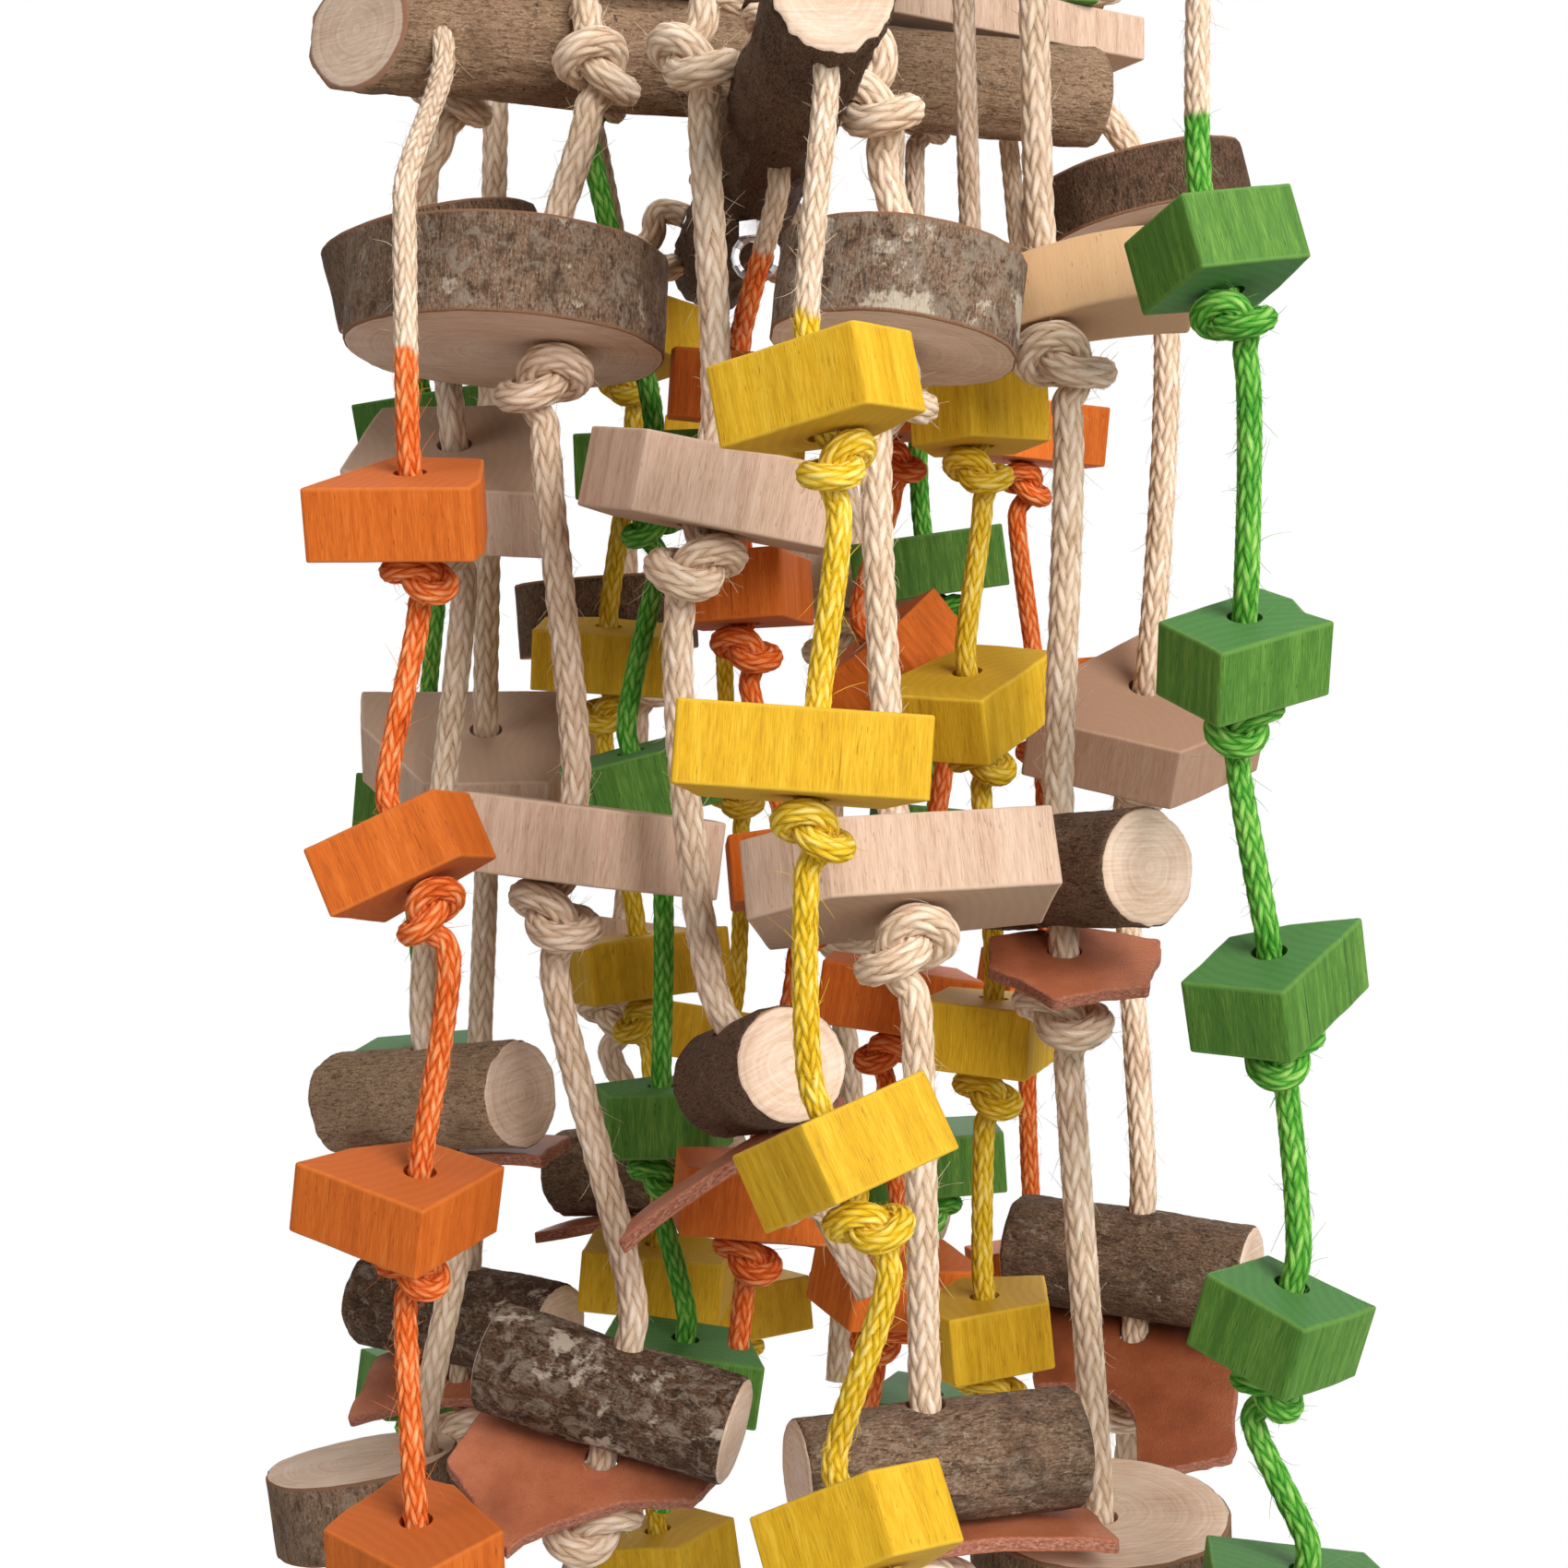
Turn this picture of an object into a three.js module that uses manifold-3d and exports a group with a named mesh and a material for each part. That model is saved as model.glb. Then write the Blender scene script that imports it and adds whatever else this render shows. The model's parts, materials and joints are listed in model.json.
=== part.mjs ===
// Hanging parrot toy: a crown of crossed branches on an eye bolt carries strands of sisal rope,
// threaded with dyed wood blocks, bark discs, boards, short logs and leather off-cuts.
// Millimetres, +Z up, viewer on the -Y side, origin where a hook holds the top ring.
import * as THREE from 'three';
import Module from 'manifold-3d';
import { mergeVertices } from 'three/addons/utils/BufferGeometryUtils.js';

const wasm = await Module();
wasm.setup();

// Ropes and their overhand knots
const THICK = { radius: 4, knotRadius: 12, knotLength: 21, tieRadius: 9.5, tail: 24 };
const THIN = { radius: 3, knotRadius: 8.2, knotLength: 15, tieRadius: 7, tail: 18 };
const HOLE_ROOM = 1.5; // radial room between a rope and the hole that it runs through
const REST_GAP = 0.3; // gap between pieces that rest on each other
const CUT_OVERRUN = 4; // how far a drill runs past the wood
const ROPE_LEAD = 5; // straight rope above a hole
const CROWN_ROOM = 0.6; // radial room of a rope in the branch that it hangs from
const HANG_STUB = 3; // straight rope under that branch
const TIP_INSET = 11; // from a branch's tip to the rope that hangs nearest to it

// Facets round each kind of round form
const ROPE_SIDES = 8;
const WHOLE_ROPE_SIDES = 6; // ropes that are one solid with their pieces
const HOLE_SIDES = 8;
const DISC_SIDES = 18;
const LOG_SIDES = 12;
const WIRE_SIDES = 8;
const RING_SIDES = 20;
const EYE_SIDES = 16;
const NUT_SIDES = 6;
const CURVE_STEPS = 5;

// Threaded pieces
const BLOCK_THICK = 20;
const BOARD_THICK = 22;
const DISC_THICK = 28;
const LEATHER_THICK = 3.8;
const LOG_BEVEL = 1.4; // worn edge round a sawn end

// Crown hardware
const RING_RADIUS = 18;
const RING_WIRE = 2;
const EYE_RADIUS = 9.5;
const EYE_WIRE = 2.5;
const ROD_RADIUS = 3;
const ROD_ROOM = 0.4;
const FLANGE_RADIUS = 8;
const FLANGE_THICK = 3;
const EYE_STEM = 3; // bare rod between the eye and the flange
const NUT_RADIUS = 6;
const NUT_HEIGHT = 4.5;
const NUT_BORE = 3;
const LOOP_RADIUS = 6.5;
const LOOP_WIRE = 1.3;

// Crown branches: direction of the arm with positive reach, reach of both arms, radius at both ends
const UPPER = { heading: -45.5, reach: 174, backReach: 172, radius: 15.5, backRadius: 16.5 };
const CROSS = { heading: 17.5, reach: 113, backReach: 133, radius: 15, backRadius: 17.5 };
const FRONT = { heading: -83.9, reach: 169, backReach: 133, radius: 15, backRadius: 16 };
const BOARD = { heading: 30, reach: 136, backReach: 118, width: 36, thick: 14 };

const COLOURS = {
  orange: 0xe0702c,
  yellow: 0xe0b21f,
  green: 0x459a3c,
  pale: 0xd7bfa5,
  tan: 0xe0b98a,
  bark: 0x7a6656,
  sisal: 0xd0bd98,
  leather: 0xa5644b,
  steel: 0xc8c8cc,
};

const degrees = THREE.MathUtils.degToRad;
const UP = new THREE.Vector3(0, 0, 1);

function material(colour) {
  const steel = colour === 'steel';
  return new THREE.MeshStandardMaterial({
    color: COLOURS[colour],
    roughness: steel ? 0.25 : 0.8,
    metalness: steel ? 1 : 0,
  });
}

function manifold(geometry) {
  const bare = geometry.clone();
  bare.deleteAttribute('normal');
  bare.deleteAttribute('uv');
  const merged = mergeVertices(bare, 1e-4);
  return new wasm.Manifold(new wasm.Mesh({
    numProp: 3,
    vertProperties: new Float32Array(merged.attributes.position.array),
    triVerts: new Uint32Array(merged.index.array),
  }));
}

function geometryOf(solid) {
  const mesh = solid.getMesh();
  const geometry = new THREE.BufferGeometry();
  geometry.setAttribute('position', new THREE.BufferAttribute(new Float32Array(mesh.vertProperties), 3));
  geometry.setIndex(new THREE.BufferAttribute(new Uint32Array(mesh.triVerts), 1));
  return geometry;
}

function join(geometries) {
  return geometryOf(geometries.map(manifold).reduce((all, one) => all.add(one)));
}

function cut(geometry, cutters) {
  return geometryOf(cutters.map(manifold).reduce((rest, one) => rest.subtract(one), manifold(geometry)));
}

function ringOfPoints(radius, sides) {
  return Array.from({ length: sides }, (_, i) => {
    const angle = (2 * Math.PI * i) / sides;
    return new THREE.Vector2(radius * Math.cos(angle), radius * Math.sin(angle));
  });
}

// Hole for a rope, wider where the rope runs through the piece at a slope
function holeRadius(rope, slope = 0, thick = 0) {
  return rope.radius / Math.cos(slope) + (thick / 2) * Math.tan(slope) + HOLE_ROOM;
}

function upright(radius, height, sides = HOLE_SIDES) {
  return new THREE.CylinderGeometry(radius, radius, height, sides).rotateX(Math.PI / 2);
}

// Threaded pieces, each with its hole along local Z through the local origin

function outlineShape(outline) {
  if (outline.length) {
    return new THREE.Shape(outline.map(([x, y]) => new THREE.Vector2(x, y)));
  }
  if (outline.round) {
    const centre = new THREE.Vector2(...outline.centre);
    return new THREE.Shape(ringOfPoints(outline.round, DISC_SIDES).map((point) => point.add(centre)));
  }
  const shape = new THREE.Shape();
  shape.moveTo(...outline.start);
  for (const step of outline.steps) {
    if (step.length === 4) {
      shape.quadraticCurveTo(...step);
    } else {
      shape.lineTo(...step);
    }
  }
  return shape;
}

function slab({ outline, thick, slope }, rope) {
  const shape = outlineShape(outline);
  if (rope) {
    shape.holes.push(new THREE.Path(ringOfPoints(holeRadius(rope, slope, thick), HOLE_SIDES)));
  }
  const geometry = new THREE.ExtrudeGeometry(shape, { depth: thick, bevelEnabled: false, curveSegments: CURVE_STEPS });
  return geometry.translate(0, 0, -thick / 2);
}

// A branch along local X from -back to +reach, tapering between its end radii
function branch(reach, back, radius, backRadius) {
  const profile = [
    [0, -back],
    [backRadius - LOG_BEVEL, -back],
    [backRadius, LOG_BEVEL - back],
    [radius, reach - LOG_BEVEL],
    [radius - LOG_BEVEL, reach],
    [0, reach],
  ].map(([x, y]) => new THREE.Vector2(x, y));
  return new THREE.LatheGeometry(profile, LOG_SIDES).rotateZ(-Math.PI / 2);
}

function shortLog(piece, rope) {
  const whole = branch(piece.reach, piece.back, piece.radius, piece.radius);
  return rope ? cut(whole, [upright(holeRadius(rope), 2 * piece.radius + CUT_OVERRUN)]) : whole;
}

function pieceGeometry(piece, rope) {
  return piece.kind === 'log' ? shortLog(piece, rope) : slab(piece, rope);
}

// Half of a piece's height along the rope that runs through it
function halfAlong(piece) {
  return piece.kind === 'log' ? piece.radius : piece.thick / 2 / Math.cos(piece.slope ?? 0);
}

// Piece builders: [drop, right, back] of the hole's middle from the strand's pivot, then
// [lean, pitch, turn]: right side up, front down, and turn about the hole, in degrees

const placed = (kind, colour, at, tilt, more) => ({ kind, colour, at, tilt, knot: true, ...more });
const block = (colour, at, tilt, outline) => placed('block', colour, at, tilt, { thick: BLOCK_THICK, outline });
const board = (at, tilt, outline) => placed('board', 'pale', at, tilt, { thick: BOARD_THICK, outline });
const disc = (at, tilt, round, centre, thick = DISC_THICK) =>
  placed('bark_disc', 'bark', at, tilt, { thick, outline: { round, centre } });
const log = (at, tilt, radius, back, reach) => placed('log', 'bark', at, tilt, { radius, back, reach, knot: false });

// Leather hangs under its log: [swing, slope, turn] give the way that it slopes from the log's own
// axis, how steeply, and its turn in its own plane; drop is the room that the slope needs
const leather = ([swing, slope, turn], outline, drop = 0) =>
  placed('leather', 'leather', null, [swing, slope, turn], {
    thick: LEATHER_THICK, slope: degrees(slope), outline, drop,
  });

// Off-cut outlines that repeat on the strands at the back
const WEDGE = [[-24, -16], [22, -19], [26, 12], [-4, 20], [-22, 14]];
const TRAPEZE = [[-26, -15], [25, -17], [19, 17], [-22, 18]];
const KITE = [[-24, -4], [2, -21], [25, -5], [14, 18], [-14, 17]];
const LEATHER_SCRAP = { start: [-36, -18], steps: [[0, -6, 34, -20], [38, 14], [-10, 20], [-34, 14]] };

// Strands: rope, where it hangs (branch, distance along it, side that it is tied on), and its pieces.
// A strand with whole: true is one solid with its pieces; the others have a node for each piece.

const STRANDS = [
  {
    name: 'orange', rope: THIN, on: CROSS, along: -99, tied: 1, tieDrop: 9, tieRadius: 3.2,
    bends: [[52, -5, -43]],
    pieces: [
      block('orange', [136, -3, -42], [1, 20, 0], [[-27, -17], [18, -19], [20, -10], [18, 16], [-7, 22]]),
      block('orange', [228, -4, -42], [24, -15, 0], [[-25, -9], [13, -14], [21, 3], [-14, 20]]),
      block('orange', [322, -2, -42], [-8, 16, 0],
        { start: [-33, -4], steps: [[4, -23], [22, 10], [10, 16, -2, 20], [-20, 9]] }),
      block('orange', [414, -1, -46], [1, 12, 0], [[-24, -4], [4, -29], [24, -6], [8, 19], [-8, 26], [-20, 6]]),
    ],
  },
  {
    name: 'yellow', rope: THIN, on: FRONT, along: FRONT.reach - TIP_INSET,
    pieces: [
      block('yellow', [79, -2, -2], [10, -6, 0], [[-26, -6], [9, -24], [24, -7], [8, 15], [-12, 10]]),
      block('yellow', [165, -3, -4], [-4, -5, 0], [[-33, -17], [27, -17], [18, 16], [-28, 15]]),
      block('yellow', [259, 3, -5], [24, -9, 0], [[-24, 2], [-6, -20], [26, -10], [22, 14], [-10, 18]]),
      block('yellow', [349, 6, -5], [16, -26, 0], [[-23, -3], [6, -20], [24, -10], [16, 16], [-16, 17]]),
    ],
  },
  {
    name: 'green', rope: THIN, on: UPPER, along: UPPER.reach - TIP_INSET,
    pieces: [
      block('green', [117, 3, -4], [13, -10, 0], [[-11, -23], [19, -14], [15, 4], [11, 17], [-22, 3]]),
      block('green', [218, 9, -6], [2, 25, 0], [[-22, -1], [-10, -24], [22, -5], [16, 2], [15, 12], [8, 21]]),
      block('green', [302, 16, -10], [11, 22, 0], [[-24, -8], [-1, -22], [26, 10], [8, 13], [-8, 12]]),
      block('green', [385, 17, -14], [-12, 16, 0], [[-23, -3], [-2, -24], [22, -3], [-3, 15]]),
      block('green', [457, 22, -15], [-6, 4, 0], TRAPEZE),
    ],
  },
  {
    name: 'left_front', rope: THICK, on: CROSS, along: -58, tied: 1, tieDrop: 13,
    pieces: [
      disc([68, -10, -8], [-2, -4, 0], 46, [-13, 5]),
      board([222, -5, -5], [-7, 0, 0], [[-30, -14], [10, -22], [44, -10], [40, 16], [-26, 18]]),
      log([379, 9, -10], [-13, 3, -15], 15.5, 39, 36),
      leather([0, 28, 12], { start: [-43, -7], steps: [[-19, -39], [-6, -15, 28, -10], [38, 12], [-36, 20]] }),
    ],
  },
  {
    name: 'centre_right', rope: THICK, on: FRONT, along: 98, tied: -1, tieDrop: 8,
    pieces: [
      disc([51, 3, 0], [-7, -6, 0], 33, [1, 0], 26),
      board([203, 5, 0], [5, -22, 0], [[-42, -8], [-20, -20], [40, -16], [38, 16], [-36, 20]]),
      log([358, 12, 0], [2, 2, 14], 15.5, 36, 42),
      leather([0, 0, 0], [[-16, -16], [46, -18], [48, 8], [-14, 15]]),
    ],
  },
  {
    name: 'right_front', rope: THICK, on: UPPER, along: 107.5,
    pieces: [
      placed('slab', 'tan', [116, 6, 12], [7, -10, 0], {
        thick: BLOCK_THICK,
        outline: { start: [-14, -6], steps: [[8, -26, 37, -18], [40, 14], [12, 6, -14, 20]] },
      }),
      log([275, 10, 18], [2, -2, -58], 16, 37, 37),
      leather([58, 25, 0], [[-22, -6], [-7, -29], [20, -21], [29, 9], [6, 15], [-20, 12]], 3.7),
      disc([465, 20, 14], [2, 8, 0], 36, [1, 4], 22),
    ],
  },
  {
    name: 'centre_left', rope: THICK, on: FRONT, along: 77, tied: 1, tieDrop: -9,
    pieces: [
      board([115, 0, 0], [-11, 2, 0], [[-33, 2], [-17, -19], [37, -16], [35, 16], [-24, 20]]),
      log([275, 14, 4], [28, -2, -70], 15.5, 30, 32),
      leather([0, 0, 70], [[-53, -14], [16, -16], [18, 12], [-50, 15]]),
    ],
  },
  {
    name: 'right_back', rope: THICK, on: BOARD, along: BOARD.reach - TIP_INSET,
    pieces: [
      disc([45, 18, -8], [12, -2, 0], 36, [0, 5], 20),
      board([214, 16.5, -14], [-3, 35, 0], [[-40, -21], [6, -37], [38, -13], [26, 14], [11, 41], [-24, 9]]),
      log([392, 16, -14], [-3, 2, -26], 17.5, 42, 37),
      leather([0, 35, 20], {
        start: [-34, -16], steps: [[-16, -18], [3, -26, -4, -58], [26, -52], [31, -18], [31, 16], [-30, 20]],
      }),
    ],
  },
  {
    name: 'left_back', rope: THICK, on: CROSS, along: -92, tied: -1, tieDrop: 10, whole: true,
    pieces: [
      disc([46, -9, 15], [13, 2, 0], 35, [3, 24.5], 26),
      board([113, 2, 19], [0, 34, 0], [[-33, -17], [-6, -30], [30, -33], [34, -8], [18, 29], [-26, 27]]),
      log([306, -5, 21], [9, 2, -35], 16.5, 40, 36),
      leather([0, 0, 30], LEATHER_SCRAP),
      disc([428, -6, 19], [8, -1, 0], 30, [-21, 4], 24),
    ],
  },
  {
    name: 'far_left_back', rope: THICK, on: UPPER, along: -127, whole: true,
    pieces: [
      board([241, -3, -4], [-3, 32, 0], [[-42, -2], [-17, -36], [24, -32], [38, 4], [28, 29], [-45, 22]]),
      log([431, -10, -4], [-4, 2, -28], 17, 40, 38),
      leather([0, 28, 20], LEATHER_SCRAP),
    ],
  },
  {
    name: 'rear_left', rope: THICK, on: FRONT, along: -108, tied: 1, tieDrop: 6, whole: true,
    pieces: [
      disc([121, -9, 6], [4, 2, 0], 31, [-8, 4], 26),
      board([240, -12, 6], [-6, -8, 20], TRAPEZE),
      log([316, -4, 8], [5, -4, -30], 15, 34, 36),
      leather([0, 0, 12], LEATHER_SCRAP),
    ],
  },
  {
    name: 'rear_right', rope: THICK, on: FRONT, along: -106, tied: -1, tieDrop: 4, whole: true,
    pieces: [
      board([112, 20, 4], [-5, -6, 10], TRAPEZE),
      disc([215, 14, 8], [3, -6, 0], 30, [4, 6], 24),
      log([327, 20, 11], [-4, -3, -20], 14.5, 34, 34),
      leather([0, 0, -6], LEATHER_SCRAP),
    ],
  },
  {
    name: 'yellow_left', rope: THIN, on: UPPER, along: -83, whole: true,
    pieces: [
      block('yellow', [103, 16, 2], [4, -6, 20], KITE),
      block('yellow', [208, 9, 2], [-3, 12, 0], WEDGE),
      block('yellow', [310, 20, 2], [6, 0, 30], TRAPEZE),
      block('yellow', [412, 25, 2], [-5, 4, 0], WEDGE),
      block('yellow', [506, 27, 2], [8, 2, 15], KITE),
    ],
  },
  {
    name: 'green_left', rope: THIN, on: CROSS, along: -47, tied: -1, tieDrop: 8, whole: true,
    pieces: [
      block('green', [112, 20, 8], [2, 4, 0], WEDGE),
      block('green', [210, 15, 7], [14, 8, 10], WEDGE),
      block('green', [314, 22, 7], [0, 2, 40], KITE),
      block('green', [392, 28, 7], [-8, 6, 0], TRAPEZE),
    ],
  },
  {
    name: 'orange_centre', rope: THIN, on: FRONT, along: 60, whole: true,
    pieces: [
      block('orange', [55, -12, 34], [-4, 6, 30], KITE),
      block('orange', [114, -10, 36], [3, 0, 80], TRAPEZE),
      block('orange', [196, 3, 36], [5, -8, 90], KITE),
      block('orange', [292, -7, 36], [-6, 2, 10], WEDGE),
    ],
  },
  {
    name: 'orange_right', rope: THIN, on: CROSS, along: 45, whole: true,
    pieces: [
      block('orange', [84, -2, 10], [4, 2, 0], WEDGE),
      block('orange', [164, -1, 14], [38, 10, 10], KITE),
      block('orange', [270, 2, 14], [-8, 2, 0], TRAPEZE),
      block('orange', [360, 0, 14], [-10, 6, 30], WEDGE),
    ],
  },
  {
    name: 'yellow_right', rope: THIN, on: UPPER, along: 82, whole: true,
    pieces: [
      block('yellow', [141, 8, 38], [3, 0, 70], KITE),
      block('yellow', [227, 6, 38], [8, 20, 60], WEDGE),
      block('yellow', [324, 12, 38], [-4, 2, 75], TRAPEZE),
      block('yellow', [412, 11, 38], [6, 4, 50], KITE),
    ],
  },
  {
    name: 'green_right', rope: THIN, on: CROSS, along: 60, tied: -1, tieDrop: 6, whole: true,
    pieces: [
      block('green', [140, 6, 26], [8, 4, 0], TRAPEZE),
      block('green', [231, 8, 28], [-5, -4, 40], KITE),
      block('green', [337, 6, 30], [4, 3, 10], WEDGE),
      block('green', [425, 6, 30], [-6, 2, 70], TRAPEZE),
    ],
  },
  {
    name: 'green_far_left', rope: THIN, on: UPPER, along: TIP_INSET - UPPER.backReach, whole: true,
    pieces: [
      block('green', [121, -5, 16], [9, 6, 0], WEDGE),
      block('green', [258, -9, 19], [-4, -3, 20], KITE),
      block('green', [352, -4, 19], [5, 3, 0], TRAPEZE),
      block('green', [466, -5, 19], [-6, -5, 35], WEDGE),
    ],
  },
  {
    name: 'orange_far_right', rope: THIN, on: BOARD, along: 92, whole: true,
    pieces: [
      block('orange', [116, 12, 44], [-5, 4, 20], WEDGE),
      block('orange', [206, 17, 50], [4, -6, 0], TRAPEZE),
      block('orange', [305, 18, 50], [-8, 3, 50], KITE),
      block('orange', [405, 18, 55], [6, -4, 10], WEDGE),
    ],
  },
  {
    name: 'yellow_rear', rope: THIN, on: FRONT, along: TIP_INSET - FRONT.backReach, whole: true,
    pieces: [
      block('yellow', [53, 3, 18], [-4, -8, 10], TRAPEZE),
      block('yellow', [159, 4, 30], [7, -4, 45], KITE),
      block('yellow', [264, 3, 33], [-9, -6, 0], WEDGE),
      block('yellow', [363, 4, 34], [5, 2, 25], TRAPEZE),
    ],
  },
];

// Heights of the crown, stacked down from the ring's hook point

const ringCentre = RING_WIRE - RING_RADIUS;
const swingHeight = ringCentre - RING_RADIUS;
const eyeInner = EYE_RADIUS - EYE_WIRE;
const eyeHeight = swingHeight + RING_WIRE + REST_GAP - eyeInner;
const flangeTop = eyeHeight - EYE_RADIUS - EYE_WIRE - EYE_STEM;
const flangeBottom = flangeTop - FLANGE_THICK;

function radiusAlong(arm, along) {
  return THREE.MathUtils.mapLinear(along, -arm.backReach, arm.reach, arm.backRadius, arm.radius);
}

function stackCrown() {
  UPPER.height = flangeBottom - REST_GAP - radiusAlong(UPPER, 0);
  BOARD.height = UPPER.height - radiusAlong(UPPER, 0) - REST_GAP - BOARD.thick / 2;
  CROSS.height = BOARD.height - BOARD.thick / 2 - REST_GAP - CROSS.backRadius;
  FRONT.height = CROSS.height - radiusAlong(CROSS, 0) - REST_GAP - radiusAlong(FRONT, 0);
}
stackCrown();

const crownBottom = FRONT.height - radiusAlong(FRONT, 0);
const halfHeight = (arm, along) => (arm === BOARD ? BOARD.thick / 2 : radiusAlong(arm, along));

const tieRadius = (strand) => strand.tieRadius ?? strand.rope.tieRadius;

function pivotOf(strand) {
  const { on, along, tied } = strand;
  const heading = degrees(on.heading);
  const pivot = new THREE.Vector3(along * Math.cos(heading), along * Math.sin(heading), on.height);
  if (!tied) {
    pivot.z -= halfHeight(on, along);
    return pivot;
  }
  const flatOfKnot = tieRadius(strand) * Math.cos(Math.PI / ROPE_SIDES);
  const apart = radiusAlong(on, along) + REST_GAP + flatOfKnot;
  const out = tied * Math.sqrt(apart ** 2 - strand.tieDrop ** 2);
  return pivot.add(new THREE.Vector3(out * Math.sin(heading), -out * Math.cos(heading), -strand.tieDrop));
}

// Rope: a loft of rings down the strand, swelling at each knot

function settle(strand) {
  let above = null;
  for (const piece of strand.pieces) {
    if (piece.at) {
      const [lean, pitch, turn] = piece.tilt.map(degrees);
      const [drop, right, back] = piece.at;
      piece.position = new THREE.Vector3(right, back, -drop);
      piece.rotation = new THREE.Quaternion().setFromEuler(new THREE.Euler(pitch, -lean, turn, 'XYZ'));
      piece.axis = UP.clone().applyQuaternion(piece.rotation);
    } else {
      const apart = (above.radius + REST_GAP + piece.thick / 2) / Math.cos(piece.slope) + piece.drop;
      piece.axis = above.axis;
      piece.position = above.position.clone().addScaledVector(piece.axis, -apart);
      piece.rotation = sloped(above.rotation, piece.tilt);
    }
    above = piece;
  }
}

function sloped(rotation, tilt) {
  const [swing, slope, turn] = tilt.map(degrees);
  const swung = new THREE.Quaternion().setFromAxisAngle(UP, swing);
  const tipped = new THREE.Quaternion().setFromAxisAngle(new THREE.Vector3(1, 0, 0), slope);
  const turned = new THREE.Quaternion().setFromAxisAngle(UP, turn);
  return rotation.clone().multiply(swung).multiply(tipped).multiply(turned);
}

const KNOT_PROFILE = [[0.06, 0.9], [0.75, 1]];

function ropeStations(strand) {
  const { rope } = strand;
  const stations = [];
  const ring = (point, radius, along) => stations.push({ point, radius, along });
  const down = UP.clone().negate();
  const top = strand.tied ? tieRadius(strand) : rope.radius;
  for (const angle of [50, 0]) {
    ring(UP.clone().multiplyScalar(top * Math.sin(degrees(angle))), top * Math.cos(degrees(angle)), down);
  }
  const stub = strand.tied ? top : HANG_STUB;
  if (top > rope.radius + HOLE_ROOM) {
    const waist = 37;
    ring(down.clone().multiplyScalar(top * Math.sin(degrees(waist))), top * Math.cos(degrees(waist)), down);
  }
  ring(down.clone().multiplyScalar(stub), rope.radius, down);
  let last = stations.at(-1).point;
  let heading = down;
  const runTo = (end, onward) => {
    const reach = last.distanceTo(end) / 3;
    const sweep = new THREE.CubicBezierCurve3(
      last,
      last.clone().addScaledVector(heading, reach),
      end.clone().addScaledVector(onward, -reach),
      end,
    );
    if (!strand.whole) {
      ring(sweep.getPoint(0.5), rope.radius, sweep.getTangent(0.5));
    }
    ring(end, rope.radius, onward);
    last = end;
  };
  for (const [drop, right, back] of strand.bends ?? []) {
    runTo(new THREE.Vector3(right, back, -drop), down);
  }
  for (const piece of strand.pieces) {
    const half = halfAlong(piece);
    const onward = piece.axis.clone().negate();
    if (piece.at) {
      runTo(piece.position.clone().addScaledVector(piece.axis, half + ROPE_LEAD), onward);
    }
    heading = onward;
    if (!piece.knot) {
      continue;
    }
    const [shoulder, width] = KNOT_PROFILE[0];
    const dip = width * rope.knotRadius * Math.tan(piece.slope ?? 0);
    const slack = Math.max(0, dip - shoulder * rope.knotLength);
    const start = piece.position.clone().addScaledVector(onward, half + REST_GAP + slack);
    ring(start, rope.radius, onward);
    for (const [share, swell] of KNOT_PROFILE) {
      ring(start.clone().addScaledVector(onward, share * rope.knotLength), swell * rope.knotRadius, onward);
    }
    last = start.clone().addScaledVector(onward, rope.knotLength);
    ring(last, rope.radius, onward);
  }
  ring(last.clone().addScaledVector(heading, rope.tail), rope.radius, heading);
  return stations;
}

function loft(stations, sides) {
  const positions = [];
  const faces = [];
  for (const { point, radius, along } of stations) {
    const side = new THREE.Vector3(1, 0, 0).addScaledVector(along, -along.x).normalize();
    const front = side.clone().cross(along);
    for (const spot of ringOfPoints(radius, sides)) {
      const at = point.clone().addScaledVector(side, spot.x).addScaledVector(front, spot.y);
      positions.push(at.x, at.y, at.z);
    }
  }
  const last = (stations.length - 1) * sides;
  for (let i = 0; i < sides; i += 1) {
    const j = (i + 1) % sides;
    for (let base = 0; base < last; base += sides) {
      const below = base + sides;
      faces.push(base + i, below + i, below + j, base + i, below + j, base + j);
    }
    if (i > 0 && j > 0) {
      faces.push(0, i, j, last, last + j, last + i);
    }
  }
  const geometry = new THREE.BufferGeometry();
  geometry.setAttribute('position', new THREE.Float32BufferAttribute(positions, 3));
  geometry.setIndex(faces);
  return geometry;
}

// Assembly

function node(name, geometry, colour) {
  const mesh = new THREE.Mesh(geometry, material(colour));
  mesh.name = name;
  return mesh;
}

function place(object, piece) {
  object.position.copy(piece.position);
  object.quaternion.copy(piece.rotation);
  return object;
}

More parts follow.
